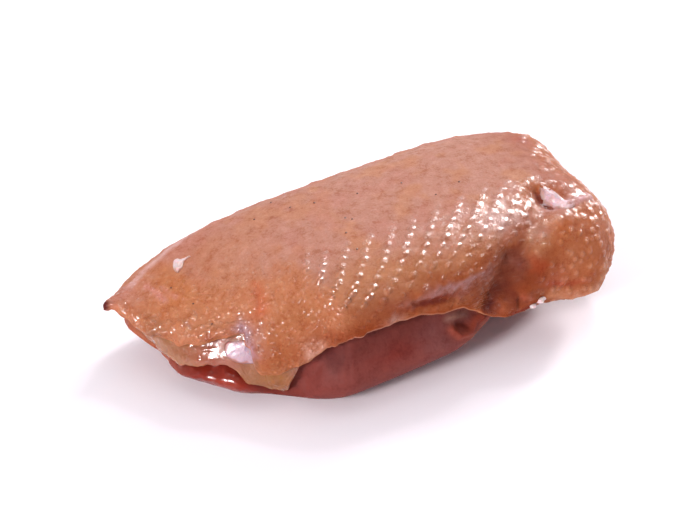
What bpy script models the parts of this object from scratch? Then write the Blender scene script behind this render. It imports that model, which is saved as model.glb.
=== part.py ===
"""A whole smoked duck breast: the meat, the fat that covers it and the skin on top.

The breast lies on its meat with the skin up. +X runs along it, from the thin pointed end to the thick
blunt one, and +Z is up. The three layers are draped over one form, a rounded box whose width and
height change along the length, each at its own depth under the outer surface.
All lengths are in millimetres until a mesh is made, in metres.
"""

import bmesh
import bpy
import numpy as np

MM = 0.001

# The rounded box, in stations from its thin end (-1) to its thick end (1)
HALF_LENGTH = 77.0
STATIONS = [-1.0, -0.75, -0.45, -0.15, 0.2, 0.45, 0.7, 0.87, 1.0]
BACK_SIDE = [33, 34, 34.5, 34, 34.5, 35, 36, 36.5, 35]
FRONT_SIDE = [-30, -36.5, -38.2, -37.8, -37.4, -36, -34.8, -34.4, -32.4]
CROWN = [27, 33, 39, 42.5, 44.5, 45.5, 45.5, 44.5, 40]
WAIST = [14, 15, 16.5, 18, 18.5, 20, 21, 20, 20]
BASE_IN_FRONT = [1, -1.5, -2, -1.5, 3.5, 9.5, 6.5, 3, 4]
BASE_BEHIND = [2, -1.5, -2, -2, -2, -1.5, 1.5, 4, 8]
BASE_TURNS_FRONT = (0.0, -0.8)
THIN_END_ROUNDNESS = 3.4
THICK_END_ROUNDNESS = 4.6
TOP_ROUNDNESS = 2.7
UNDERSIDE_ROUNDNESS = 2.75

# Both ends are cut at a slant: how steep, the side at which the length stays, and the stations
THIN_END_SLANT = (0.6, 22.0, (-0.1, -1.0))
THICK_END_SLANT = (0.17, -20.0, (0.2, 1.0))

# The thin end tucks in under the skin: none of it at the first of each pair, all of it at the second
TUCK_DEPTH = 8.0
TUCK_HEIGHTS = (22.0, 2.0)
TUCK_SIDES = (-20.0, 10.0)
TUCK_STATIONS = (-0.5, -1.0)

# Lumps: centre, radius and how far the surface is pushed there
SWELLS = {
    "knuckle": ((61, -33, 26), 7.8, (1.5, -2.5, -1.0)),
    "knuckle crown": ((52, -26, 38), 3.6, (0.5, -1.0, 1.5)),
    "far corner": ((69, 16, 38), 8.5, (4.0, 1.5, 2.5)),
    "meat toe": ((-52, -20, 4), 6.6, (-2.5, -2.5, -1.0)),
    "thin end": ((-59, -3, 8), 8.0, (-3.5, -1.5, -2.0)),
}

# Grooves: the route, how wide and how deep
GROOVES = {
    "valley beside the knuckle": (
        [(50, -21, 42), (45, -26, 40), (39, -29.5, 38), (33, -33, 34), (28, -36, 28), (23, -38, 21)],
        5.8,
        3.4,
    ),
    "hollow above the hem": ([(-6, -38.5, 30), (6, -38, 30.5), (16, -37, 30.5), (26, -35, 32)], 3.2, 1.8),
}

# The skin's lower hem: bearings from +X round over +Y, and degrees down from the crown
HEM = [
    (0, 112), (40, 108), (90, 108), (130, 100), (146, 79), (155, 67), (161, 69), (168, 77), (174, 75),
    (182, 71), (190, 68), (198, 67), (205, 62), (209, 59), (212, 65), (214.5, 80), (217, 92), (220, 92),
    (223, 88), (226, 82), (229.5, 73), (234, 69.5), (244, 67.5), (264, 68), (274, 71), (281, 75.5),
    (285, 87), (289, 100), (293, 110), (298, 115), (304, 118), (312, 118), (330, 114), (360, 112),
]
HEM_WAVES = [(17, 1.0, 1.6), (29, 0.0, 1.1), (47, 2.0, 0.8)]
HEM_MEAN_DROP = 100.0

# How much further down the fat shows than the skin does: bearing, and share of the way to the middle of
# the underside. There it rises towards the surface.
FAT_SHOWS = [
    (0, 0.015), (148, 0.015), (160, 0.10), (168, 0.20), (182, 0.24), (194, 0.22), (203, 0.21), (210, 0.22),
    (213, 0.16), (215, 0.11), (217, 0.13), (220, 0.22), (226, 0.25), (231, 0.08), (237, 0.015), (360, 0.015),
]
FAT_SHOWS_LITTLE = 0.1
FAT_RISES = 1.0

# The drawn-out point of skin at the thin end
POINT_ROOT = (-70.5, 15.5, 22.5)
POINT_PULL = (-7.0, 1.5, 1.5)
POINT_RADIUS = 3.3

SKIN_THICKNESS = 1.4
FAT_THICKNESS = 1.8
FAT_GAP = 0.45
MEAT_GAP = 0.6
MEAT_STARTS = 0.012

# How soon the meat swells out to the full form below the fat: bearing, and share of the way
MEAT_COMES_OUT = [
    (0, 0.40), (90, 0.30), (140, 0.26), (165, 0.16), (215, 0.16), (245, 0.36), (275, 0.36), (290, 0.60),
    (320, 0.50), (360, 0.40),
]

# Cells of each draped sheet, along the breast and across it
CELLS_ALONG = 40
CELLS_ACROSS = 23

WELD_DISTANCE = 0.02

# From the form's own zero to the middle of the finished breast's footprint
TO_MIDDLE = np.array([0.453, -1.211, 0.0])

COLOURS = {
    "skin": ((0.56, 0.19, 0.09), 0.32),
    "fat": ((0.60, 0.33, 0.20), 0.38),
    "meat": ((0.22, 0.05, 0.035), 0.45),
}


def eased(x, start, end):
    """0 up to start, 1 from end on, and smooth between. End may be the lower of the two."""
    t = np.clip((x - start) / (end - start), 0, 1)
    return t * t * (3 - 2 * t)


def along(x, places, values):
    """The smooth curve through values at places, read at x."""
    places, values = np.asarray(places, float), np.asarray(values, float)
    slopes = np.gradient(values, places)
    i = np.clip(np.searchsorted(places, x, side="right") - 1, 0, len(places) - 2)
    span = places[i + 1] - places[i]
    t = np.clip((x - places[i]) / span, 0, 1)
    start, end = 2 * t**3 - 3 * t**2 + 1, 3 * t**2 - 2 * t**3
    leaving, arriving = t**3 - 2 * t**2 + t, t**3 - t**2
    return (
        start * values[i] + end * values[i + 1] + span * (leaving * slopes[i] + arriving * slopes[i + 1])
    )


def distance_to(points, route):
    """How far each point is from a route of straight legs."""
    nearest = np.full(len(points), np.inf)
    route = np.array(route, float)
    for start, end in zip(route[:-1], route[1:]):
        leg = end - start
        t = np.clip((points - start) @ leg / (leg @ leg), 0, 1)
        nearest = np.minimum(nearest, np.linalg.norm(points - start - t[:, None] * leg, axis=1))
    return nearest


def rounded_box(directions):
    """The plain form's surface in each direction from its middle."""
    dx, dy, dz = directions.T
    ends = THIN_END_ROUNDNESS + (THICK_END_ROUNDNESS - THIN_END_ROUNDNESS) * eased(dx, -0.4, 0.4)
    section = TOP_ROUNDNESS + (UNDERSIDE_ROUNDNESS - TOP_ROUNDNESS) * eased(-dz, -0.3, 0.3)
    across = np.abs(dy) ** section + np.abs(dz) ** section
    unit = directions / ((across ** (ends / section) + np.abs(dx) ** ends) ** (1 / ends))[:, None]
    station, side, rise = unit.T
    back, front, crown, waist, base_front, base_back = (
        along(station, STATIONS, values)
        for values in (BACK_SIDE, FRONT_SIDE, CROWN, WAIST, BASE_IN_FRONT, BASE_BEHIND)
    )
    base = base_back + (base_front - base_back) * eased(side, *BASE_TURNS_FRONT)
    y = (back + front) / 2 + side * (back - front) / 2
    z = waist + np.where(rise > 0, rise * (crown - waist), rise * (waist - base))
    x = HALF_LENGTH * station
    for slant, pivot, stations in (THIN_END_SLANT, THICK_END_SLANT):
        x = x - slant * (y - pivot) * eased(station, *stations)
    tucked = eased(z, *TUCK_HEIGHTS) * eased(y, *TUCK_SIDES) * eased(station, *TUCK_STATIONS)
    return np.stack([x + TUCK_DEPTH * tucked, y, z], axis=1)


def normals_of(surface, directions, step=0.01):
    """Unit normals, facing out, from the surface a small step to each side."""
    east = np.cross(directions, [0.0, 0.0, 1.0])
    east[np.linalg.norm(east, axis=1) < 1e-3] = [0.0, 1.0, 0.0]
    east /= np.linalg.norm(east, axis=1)[:, None]
    north = np.cross(directions, east)

    def beside(offset):
        moved = directions + step * offset
        return surface(moved / np.linalg.norm(moved, axis=1)[:, None])

    normals = np.cross(beside(east) - beside(-east), beside(north) - beside(-north))
    return normals / np.linalg.norm(normals, axis=1)[:, None]


def outer_surface(directions):
    """The form with its lumps and grooves."""
    points = rounded_box(directions)
    inward = -normals_of(rounded_box, directions)
    for centre, radius, push in SWELLS.values():
        share = np.exp(-((points - centre) ** 2).sum(axis=1) / (2 * radius**2))
        points = points + share[:, None] * push
    for route, width, depth in GROOVES.values():
        share = np.exp(-((distance_to(points, route) / width) ** 2))
        points = points + depth * share[:, None] * inward
    return points


def hem_drop(bearing):
    """Degrees from the crown down to the skin's hem, which is a little ragged."""
    degrees = np.degrees(bearing) % 360
    drop = along(degrees, *zip(*HEM))
    for count, phase, size in HEM_WAVES:
        drop = drop + size * np.sin(np.radians(degrees) * count + phase)
    return drop


def fat_edge(bearing):
    return 1 + np.interp(np.degrees(bearing) % 360, *zip(*FAT_SHOWS))


def direction_at(bearing, reach):
    """Reach is 0 at the crown, 1 at the skin's hem and 2 at the middle of the underside."""
    drop = hem_drop(bearing)
    above = HEM_MEAN_DROP * reach + (drop - HEM_MEAN_DROP) * reach**2
    below = drop + (reach - 1) * (180 - drop)
    angle = np.radians(np.where(reach <= 1, above, below))
    return np.stack(
        [np.sin(angle) * np.cos(bearing), np.sin(angle) * np.sin(bearing), np.cos(angle)], axis=1
    )


def flat_sheet(mesh, ring):
    """A square grid from -1 to 1 in x and y. Its z is the number of the ring that it belongs to."""
    made = bmesh.ops.create_grid(mesh, x_segments=CELLS_ALONG, y_segments=CELLS_ACROSS, size=1)
    for vertex in made["verts"]:
        vertex.co.z = ring
    return made["verts"]


def add_rings(mesh, count):
    """More rows of faces all round the sheet, numbered from 1."""
    for number in range(1, count + 1):
        border = [edge for edge in mesh.edges if edge.is_boundary]
        made = bmesh.ops.extrude_edge_only(mesh, edges=border)
        for item in made["geom"]:
            if isinstance(item, bmesh.types.BMVert):
                item.co.z = number


def sheet_places(mesh):
    """Each vertex's bearing, its distance from the sheet's middle and its ring."""
    a, b, ring = np.array([vertex.co for vertex in mesh.verts]).T
    u, v = a * np.sqrt(1 - b * b / 2), b * np.sqrt(1 - a * a / 2)
    return np.arctan2(v, u), np.hypot(u, v), np.round(ring).astype(int)


def place(mesh, points):
    for vertex, point in zip(mesh.verts, (points - TO_MIDDLE) * MM):
        vertex.co = point


def finished(name, mesh):
    """The bmesh as a named object with its own material, smooth shaded."""
    bmesh.ops.recalc_face_normals(mesh, faces=mesh.faces)
    data = bpy.data.meshes.new(name)
    mesh.to_mesh(data)
    mesh.free()
    colour, roughness = COLOURS[name]
    material = bpy.data.materials.new(name)
    material.use_nodes = True
    shader = material.node_tree.nodes["Principled BSDF"]
    shader.inputs["Base Color"].default_value = (*colour, 1)
    shader.inputs["Roughness"].default_value = roughness
    shader.inputs["Metallic"].default_value = 0
    data.materials.append(material)
    data.shade_smooth()
    piece = bpy.data.objects.new(name, data)
    bpy.data.collections["duck_breast"].objects.link(piece)
    return piece


def thicken(piece, thickness):
    shell = piece.modifiers.new("thickness", "SOLIDIFY")
    shell.thickness = thickness * MM
    shell.offset = -1


def skin():
    mesh = bmesh.new()
    flat_sheet(mesh, ring=0)
    bearing, reach, _ = sheet_places(mesh)
    points = outer_surface(direction_at(bearing, reach))
    near = np.exp(-((points - POINT_ROOT) ** 2).sum(axis=1) / (2 * POINT_RADIUS**2))
    place(mesh, points + near[:, None] * POINT_PULL)
    piece = finished("skin", mesh)
    thicken(piece, SKIN_THICKNESS)


def fat():
    mesh = bmesh.new()
    flat_sheet(mesh, ring=0)
    add_rings(mesh, count=2)
    bearing, reach, ring = sheet_places(mesh)
    edge = fat_edge(bearing)
    reach = np.where(ring > 0, 1 + (edge - 1) * ring / 2, reach)
    directions = direction_at(bearing, reach)
    rise = FAT_RISES * np.minimum(1, (edge - 1) / FAT_SHOWS_LITTLE) * eased(reach, 1, edge)
    depth = SKIN_THICKNESS + FAT_GAP - rise
    place(mesh, outer_surface(directions) - depth[:, None] * normals_of(outer_surface, directions))
    piece = finished("fat", mesh)
    thicken(piece, FAT_THICKNESS)


def meat():
    mesh = bmesh.new()
    flat_sheet(mesh, ring=0)
    add_rings(mesh, count=3)
    flat_sheet(mesh, ring=4)
    bearing, reach, ring = sheet_places(mesh)
    edge = fat_edge(bearing)
    start = edge + MEAT_STARTS
    reach = np.where((ring == 1) | (ring == 2), 1 + (edge - 1) * ring / 2, reach)
    reach = np.where(ring == 3, start, reach)
    reach = np.where(ring == 4, 2 - (2 - start) * reach, reach)
    directions = direction_at(bearing, reach)
    full_depth = SKIN_THICKNESS + FAT_GAP + FAT_THICKNESS + MEAT_GAP
    way_out = np.interp(np.degrees(bearing) % 360, *zip(*MEAT_COMES_OUT))
    depth = full_depth * (1 - eased(reach, start, start + way_out))
    points = outer_surface(directions) - depth[:, None] * normals_of(outer_surface, directions)
    points[:, 2] = np.maximum(points[:, 2], 0)
    place(mesh, points)
    bmesh.ops.remove_doubles(mesh, verts=mesh.verts, dist=WELD_DISTANCE * MM)
    finished("meat", mesh)


def main():
    for old in list(bpy.data.objects):
        bpy.data.objects.remove(old)
    bpy.context.scene.collection.children.link(bpy.data.collections.new("duck_breast"))
    meat()
    fat()
    skin()


main()
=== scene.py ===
import bpy
import numpy as np
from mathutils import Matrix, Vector
from mathutils.bvhtree import BVHTree


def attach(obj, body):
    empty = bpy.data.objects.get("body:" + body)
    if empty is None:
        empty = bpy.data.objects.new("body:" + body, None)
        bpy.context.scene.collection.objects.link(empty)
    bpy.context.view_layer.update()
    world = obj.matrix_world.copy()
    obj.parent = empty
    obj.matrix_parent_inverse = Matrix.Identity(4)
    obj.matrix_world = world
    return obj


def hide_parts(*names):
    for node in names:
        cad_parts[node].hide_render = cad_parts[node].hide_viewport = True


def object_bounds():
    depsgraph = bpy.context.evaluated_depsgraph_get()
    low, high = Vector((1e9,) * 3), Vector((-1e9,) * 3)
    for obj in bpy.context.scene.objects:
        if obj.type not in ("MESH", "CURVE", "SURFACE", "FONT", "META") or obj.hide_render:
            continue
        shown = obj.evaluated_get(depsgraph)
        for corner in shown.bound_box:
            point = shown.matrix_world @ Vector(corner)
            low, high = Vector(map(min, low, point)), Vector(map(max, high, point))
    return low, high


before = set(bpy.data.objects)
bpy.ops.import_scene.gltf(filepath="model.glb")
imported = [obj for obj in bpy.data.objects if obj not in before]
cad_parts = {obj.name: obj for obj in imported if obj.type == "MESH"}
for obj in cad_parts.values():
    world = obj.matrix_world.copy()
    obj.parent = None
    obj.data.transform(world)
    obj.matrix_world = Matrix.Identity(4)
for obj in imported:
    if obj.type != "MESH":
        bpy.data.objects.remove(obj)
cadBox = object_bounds()  # the CAD model's box, before anything is added

# The form that skin, fat and meat are draped on, in millimetres: the CAD part's own values
form = {
    "halfLength": 77.0,
    "stations": [-1.0, -0.75, -0.45, -0.15, 0.2, 0.45, 0.7, 0.87, 1.0],
    "backSide": [33, 34, 34.5, 34, 34.5, 35, 36, 36.5, 35],
    "frontSide": [-30, -36.5, -38.2, -37.8, -37.4, -36, -34.8, -34.4, -32.4],
    "crown": [27, 33, 39, 42.5, 44.5, 45.5, 45.5, 44.5, 40],
    "waist": [14, 15, 16.5, 18, 18.5, 20, 21, 20, 20],
    "baseInFront": [1, -1.5, -2, -1.5, 3.5, 9.5, 6.5, 3, 4],
    "baseBehind": [2, -1.5, -2, -2, -2, -1.5, 1.5, 4, 8],
    "thinEnd": 3.4, "thickEnd": 4.6, "topRound": 2.7, "underRound": 2.75,
    "slants": [(0.6, 22.0, (-0.1, -1.0)), (0.17, -20.0, (0.2, 1.0))],
    "tuck": {"depth": 8.0, "heights": (22.0, 2.0), "sides": (-20.0, 10.0), "stations": (-0.5, -1.0)},
    "swells": {
        "knuckle": ((61, -33, 26), 7.8, (1.5, -2.5, -1.0)),
        "knuckleCrown": ((52, -26, 38), 3.6, (0.5, -1.0, 1.5)),
        "farCorner": ((69, 16, 38), 8.5, (4.0, 1.5, 2.5)),
        "meatToe": ((-52, -20, 4), 6.6, (-2.5, -2.5, -1.0)),
        "thinEnd": ((-59, -3, 8), 8.0, (-3.5, -1.5, -2.0)),
    },
    "grooves": {
        "valley": ([(50, -21, 42), (45, -26, 40), (39, -29.5, 38), (33, -33, 34), (28, -36, 28),
                    (23, -38, 21)], 5.8, 3.4),
        "hollow": ([(-6, -38.5, 30), (6, -38, 30.5), (16, -37, 30.5), (26, -35, 32)], 3.2, 1.8),
    },
    "hem": [(0, 112), (40, 108), (90, 108), (130, 100), (146, 79), (155, 67), (161, 69), (168, 77),
            (174, 75), (182, 71), (190, 68), (198, 67), (205, 62), (209, 59), (212, 65), (214.5, 80),
            (217, 92), (220, 92), (223, 88), (226, 82), (229.5, 73), (234, 69.5), (244, 67.5),
            (264, 68), (274, 71), (281, 75.5), (285, 87), (289, 100), (293, 110), (298, 115),
            (304, 118), (312, 118), (330, 114), (360, 112)],
    "hemWaves": [(17, 1.0, 1.6), (29, 0.0, 1.1), (47, 2.0, 0.8)],
    "fatShows": [(0, .015), (148, .015), (160, .10), (168, .20), (182, .24), (194, .22), (203, .21),
                 (210, .22), (213, .16), (215, .11), (217, .13), (220, .22), (226, .25), (231, .08),
                 (237, .015), (360, .015)],
    "meatComesOut": [(0, .40), (90, .30), (140, .26), (165, .16), (215, .16), (245, .36),
                     (275, .36), (290, .60), (320, .50), (360, .40)],
    "middle": (0.453, -1.211, 0.0),  # the form's own point that comes over the origin
}


def eased(x, start, end):
    t = np.clip((x - start) / (end - start), 0, 1)
    return t * t * (3 - 2 * t)


def along(x, places, values):
    places, values = np.asarray(places, float), np.asarray(values, float)
    slopes = np.gradient(values, places)
    i = np.clip(np.searchsorted(places, x, side="right") - 1, 0, len(places) - 2)
    span = places[i + 1] - places[i]
    t = np.clip((x - places[i]) / span, 0, 1)
    start, end = 2 * t**3 - 3 * t**2 + 1, 3 * t**2 - 2 * t**3
    return (start * values[i] + end * values[i + 1]
            + span * ((t**3 - 2 * t**2 + t) * slopes[i] + (t**3 - t**2) * slopes[i + 1]))


def distanceTo(points, route):
    nearest = np.full(len(points), np.inf)
    route = np.array(route, float)
    for start, end in zip(route[:-1], route[1:]):
        leg = end - start
        t = np.clip((points - start) @ leg / (leg @ leg), 0, 1)
        nearest = np.minimum(nearest, np.linalg.norm(points - start - t[:, None] * leg, axis=1))
    return nearest


def bell(away, width):  # 1 at no distance, fading to nothing past the width
    return np.exp(-((away / width) ** 2))


def near(points, centre, radii):  # 1 at the centre, fading to nothing past the radii
    return np.exp(-(((points - np.array(centre)) / np.array(radii)) ** 2).sum(axis=1))


def pulled(points, centre, radius):  # 1 at the centre, and a round fall with that spread
    return np.exp(-((points - centre) ** 2).sum(axis=1) / (2 * radius**2))


def withRidges(points, height, ridges, broader=1.0):  # route, width and height of each
    for route, width, rise in ridges.values():
        height = height + rise * bell(distanceTo(points, route), width * broader)
    return height


def withSwells(points, height, swells):  # centre, radii and height of each
    for centre, radii, rise in swells.values():
        height = height + rise * near(points, centre, radii)
    return height


def unitLong(vectors):
    return vectors / np.linalg.norm(vectors, axis=1)[:, None]


def roundedBox(directions):
    dx, dy, dz = directions.T
    ends = form["thinEnd"] + (form["thickEnd"] - form["thinEnd"]) * eased(dx, -0.4, 0.4)
    section = form["topRound"] + (form["underRound"] - form["topRound"]) * eased(-dz, -0.3, 0.3)
    across = np.abs(dy) ** section + np.abs(dz) ** section
    unit = directions / ((across ** (ends / section) + np.abs(dx) ** ends) ** (1 / ends))[:, None]
    station, side, rise = unit.T
    back, front, crown, waist, baseFront, baseBack = (
        along(station, form["stations"], form[key])
        for key in ("backSide", "frontSide", "crown", "waist", "baseInFront", "baseBehind"))
    base = baseBack + (baseFront - baseBack) * eased(side, 0.0, -0.8)
    y = (back + front) / 2 + side * (back - front) / 2
    z = waist + np.where(rise > 0, rise * (crown - waist), rise * (waist - base))
    x = form["halfLength"] * station
    for slant, pivot, stations in form["slants"]:
        x = x - slant * (y - pivot) * eased(station, *stations)
    tuck = form["tuck"]
    share = eased(z, *tuck["heights"]) * eased(y, *tuck["sides"]) * eased(station, *tuck["stations"])
    return np.stack([x + tuck["depth"] * share, y, z], axis=1)


def normalsOf(surface, directions, step=0.01):
    east = np.cross(directions, [0.0, 0.0, 1.0])
    east[np.linalg.norm(east, axis=1) < 1e-3] = [0.0, 1.0, 0.0]
    east = unitLong(east)
    north = np.cross(directions, east)

    def across(side):  # from the place just behind to the one just ahead
        return surface(unitLong(directions + step * side)) - surface(unitLong(directions - step * side))

    return unitLong(np.cross(across(east), across(north)))


def outerSurface(directions):
    points = roundedBox(directions)
    inward = -normalsOf(roundedBox, directions)
    for centre, radius, push in form["swells"].values():
        points = points + pulled(points, centre, radius)[:, None] * push
    for route, width, depth in form["grooves"].values():
        share = bell(distanceTo(points, route), width)
        points = points + depth * share[:, None] * inward
    return points


def hemDrop(bearing):
    degrees = np.degrees(bearing) % 360
    drop = along(degrees, *zip(*form["hem"]))
    calm = 1 - 0.65 * eased(degrees, 232, 242) * eased(degrees, 304, 292)  # straighter in front
    for count, phase, size in form["hemWaves"]:
        drop = drop + calm * size * np.sin(np.radians(degrees) * count + phase)
    return drop


def fatEdge(bearing):
    return 1 + np.interp(np.degrees(bearing) % 360, *zip(*form["fatShows"]))


def directionAt(bearing, reach):  # reach: 0 at the crown, 1 at the skin's hem, 2 under the middle
    drop = hemDrop(bearing)
    above = 100 * reach + (drop - 100) * reach**2
    below = drop + (reach - 1) * (180 - drop)
    angle = np.radians(np.where(reach <= 1, above, below))
    return np.stack([np.sin(angle) * np.cos(bearing), np.sin(angle) * np.sin(bearing), np.cos(angle)], axis=1)


# Finer creases than the CAD has, route, width and depth: every layer sinks along them together
creaseRoutes = {
    "valleyCrease": ([(33.4, -30.4, 32.6), (31.2, -32.6, 27.5), (28.2, -33.5, 24.5)], 3.4, 1.7),
    "valleyFilled": ([(47, -22.5, 40.5), (42, -25.5, 38.5), (37.6, -28.2, 36.6)], 4.2, -0.7),
    "slitDent": ([(50.6, -15.4, 42), (50.9, -18.6, 40.6), (51.6, -21.6, 39.8)], 1.3, 1.2),
}
# Ridges and furrows of the skin alone, and its small swells: centre, radii, height
skinRidges = {
    "lobeRim": ([(39.4, -28.5, 34.6), (41.4, -26.1, 36.3), (46, -24.7, 37.6), (51.3, -27.3, 38.6)], 1.3, 0.45),
    "lobeLowerRim": ([(44.7, -35, 19.8), (50.9, -34.2, 17.2), (61.6, -33.4, 17.2), (66, -33.6, 22)], 1.7, 0.7),
    "stripe": ([(51, -22, 38.6), (55.6, -22.9, 39.8), (60.9, -21.8, 39.5), (66.7, -19.6, 38)], 1.0, 0.7),
    "bandTop": ([(0.5, -34.2, 33.4), (8.7, -34.0, 34.2), (15.3, -33.8, 34.2), (22.7, -32.5, 33.6)], 1.1, 0.5),
    "bandFurrow": ([(-1.2, -34.7, 31), (3.8, -34.7, 30.2), (8.4, -35.0, 29.4), (12, -35.4, 28.8)], 0.7, -0.8),
    "shineCrease": ([(42.2, -13.4, 44.4), (46.4, -16.6, 43.2), (50.2, -18.8, 41.6)], 0.45, 0.3),
    "shineCreaseTwo": ([(40.0, -15.4, 44.2), (44.2, -18.6, 42.8), (48.2, -20.8, 41.2)], 0.45, 0.3),
    "shineCreaseThree": ([(38.6, -17.8, 43.9), (42.4, -20.6, 42.3), (46.0, -22.4, 40.6)], 0.45, 0.3),
    "brightCrease": ([(1.2, -28.4, 38.9), (4.4, -30.8, 37.2)], 0.5, 0.4),
    "cornerFold": ([(-38.0, -8.5, 34.2), (-39.5, -12.6, 31.8), (-40.8, -16.2, 29)], 0.8, -0.5),
    "cornerFoldTwo": ([(-34.5, -13.5, 33.6), (-36.0, -17.2, 31)], 0.6, -0.35),
}
skinSwells = {
    "underValley": ((27.6, -32.6, 23.6), (2.0, 2.4, 2.4), 1.3),
    "underValleyLow": ((28.4, -34.6, 20.2), (2.3, 2.4, 1.9), 1.5),
    "besideLow": ((31.4, -34.9, 20.4), (1.4, 2, 2.0), 0.9),
    "wetBump": ((35.4, -35.0, 22.0), (1.9, 2, 2.0), 1.3),
    "wetBumpLow": ((38.4, -35.2, 20.2), (1.5, 2, 1.5), 1.0),
    "besideSlit": ((59, -16.6, 41.6), (3.2, 2.6, 2), 0.9),
    "gap": ((33.2, -35.4, 21.2), (0.8, 2, 2.4), -0.9),
    "lobeFoot": ((57, -34, 17), (8, 4, 4), 2.2),
    "flapBulge": ((-35.5, -28, 22.5), (5, 5, 6), 1.3),
    "flapFoot": ((-41, -23.5, 18), (3, 3.5, 3.5), 1.2),
    "lipBulge": ((-57, -3, 23), (4, 4, 3), 0.9),
    "lipBulgeTwo": ((-52, -10.5, 22.6), (3, 3, 2.6), 0.8),
    "lobeEdge": ((67, -31, 23), (4, 6, 8), -1.2),
}


def creased(surface, outward, broader=1.0):
    return -withRidges(surface, 0.0, creaseRoutes, broader)[:, None] * outward


def sunkSheet(directions, depth, broader):  # the form and its creases, that deep under the outer surface
    surface = outerSurface(directions)
    outward = normalsOf(outerSurface, directions)
    return surface + creased(surface, outward, broader) - depth[:, None] * outward


def lumps(points, size, seed):  # smooth noise from -1 to 1, lumps of about that size in mm
    table = np.random.default_rng(seed).uniform(-1, 1, (16, 16, 16))
    scaled = np.asarray(points) / size + 100
    cell = np.floor(scaled).astype(int)
    part = scaled - cell
    part = part * part * (3 - 2 * part)
    total = np.zeros(len(scaled))
    for corner in range(8):
        step = np.array([corner >> 2 & 1, corner >> 1 & 1, corner & 1])
        weight = np.where(step, part, 1 - part).prod(axis=1)
        total += weight * table[tuple(((cell + step) % 16).T)]
    return total


def uneven(points, layers):  # smooth noises together: height, size in mm and seed of each
    return sum(height * lumps(points, size, seed) for height, size, seed in layers)


# Sheets: a square grid draped over the form, rings of faces round its border, and a second sheet
def polar(cells, crowding=None):  # crowding: even places and where they go, for both ways across
    sides = [np.linspace(-1, 1, count + 1) for count in cells]
    if crowding:
        sides = [np.interp(side, *moved) for side, moved in zip(sides, crowding)]
    a, b = (side.ravel() for side in np.meshgrid(*sides, indexing="ij"))
    u, v = a * np.sqrt(1 - b * b / 2), b * np.sqrt(1 - a * a / 2)
    return np.arctan2(v, u), np.hypot(u, v)


def borderOf(cells):
    number = np.arange((cells[0] + 1) * (cells[1] + 1)).reshape(cells[0] + 1, cells[1] + 1)
    return np.concatenate([number[:-1, 0], number[-1, :-1], number[:0:-1, -1], number[0, :0:-1]])


def gridFaces(cells, first, up):
    number = first + np.arange((cells[0] + 1) * (cells[1] + 1)).reshape(cells[0] + 1, cells[1] + 1)
    corners = [number[:-1, :-1], number[1:, :-1], number[1:, 1:], number[:-1, 1:]]
    return np.stack([c.ravel() for c in (corners if up else corners[::-1])], axis=1).tolist()


def bandFaces(upper, lower):  # between two loops, one of which may have fewer points
    if len(upper) == len(lower):
        return np.stack([lower, np.roll(lower, -1), np.roll(upper, -1), upper], axis=1).tolist()
    fine, coarse = (lower, upper) if len(upper) < len(lower) else (upper, lower)
    ratio, faces = len(fine) // len(coarse), []
    for i in range(len(coarse)):
        this, following = coarse[i], coarse[(i + 1) % len(coarse)]
        for k in range(ratio):
            left, right = fine[ratio * i + k], fine[(ratio * i + k + 1) % len(fine)]
            faces.append([left, right, this if k < ratio / 2 else following])
        faces.append([following, this, fine[ratio * i + ratio // 2]])
    return faces if coarse is upper else [face[::-1] for face in faces]


def sheetAndBorder(plan):  # a coarse sheet, and the bearings of a finer border round it
    coarse = tuple(count // plan["every"] for count in plan["cells"])
    return coarse, *polar(coarse), polar(plan["cells"])[0][borderOf(plan["cells"])]


def roundedEdge(upper, lower, out, bulge, count):  # loops round an edge, from one side to the other
    centre, radial = (upper + lower) / 2, (upper - lower) / 2
    return [centre + np.cos(turn) * radial + bulge * np.sin(turn) * out
            for turn in np.pi * np.arange(1, count + 1) / (count + 1)]


def pushedOut(points, heights):
    return points + heights[:, None] * unitLong(points - points.mean(axis=0))


def shellFaces(topCells, ringSize, ringCount, bottomCells):
    topCount = (topCells[0] + 1) * (topCells[1] + 1)
    bottomStart = topCount + ringSize * ringCount
    loops = [borderOf(topCells)]
    loops += [topCount + ringSize * k + np.arange(ringSize) for k in range(ringCount)]
    loops.append(bottomStart + borderOf(bottomCells))
    faces = gridFaces(topCells, 0, True) + gridFaces(bottomCells, bottomStart, False)
    for upper, lower in zip(loops[:-1], loops[1:]):
        faces += bandFaces(upper, lower)
    return faces


def toMetres(points):
    return (np.asarray(points) - form["middle"]) * 0.001


def linear(colour):  # a colour as a screen shows it, 0 to 255, to the renderer's own values
    c = np.asarray(colour, float) / 255
    return np.where(c <= 0.04045, c / 12.92, ((c + 0.055) / 1.055) ** 2.4)


def makePiece(name, points, faces, attributes=None, material=None):
    mesh = bpy.data.meshes.new(name)
    mesh.from_pydata(toMetres(points).tolist(), [], faces)
    kinds = {1: ("FLOAT", "value"), 3: ("FLOAT_VECTOR", "vector"), 4: ("FLOAT_COLOR", "color")}
    for key, values in (attributes or {}).items():
        width = 1 if values.ndim == 1 else values.shape[1]
        made = mesh.attributes.new(key, kinds[width][0], "POINT")
        made.data.foreach_set(kinds[width][1], np.ascontiguousarray(values, np.float32).ravel())
    mesh.shade_smooth()
    if material:
        mesh.materials.append(material)
    piece = bpy.data.objects.new(name, mesh)
    bpy.context.scene.collection.objects.link(piece)
    return piece


# Small helpers for node trees
def plug(tree, socket, value):
    if isinstance(value, bpy.types.NodeSocket):
        tree.links.new(value, socket)
    else:
        socket.default_value = value


def node(tree, kind, inputs=None, **settings):
    made = tree.nodes.new(kind)
    for key, value in settings.items():
        setattr(made, key, value)
    for key, value in (inputs or {}).items():
        plug(tree, made.inputs[key], value)
    return made


def maths(tree, operation, *values):
    made = tree.nodes.new("ShaderNodeMath")
    made.operation = operation
    for socket, value in zip(made.inputs, values):
        plug(tree, socket, value)
    return made.outputs[0]


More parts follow.
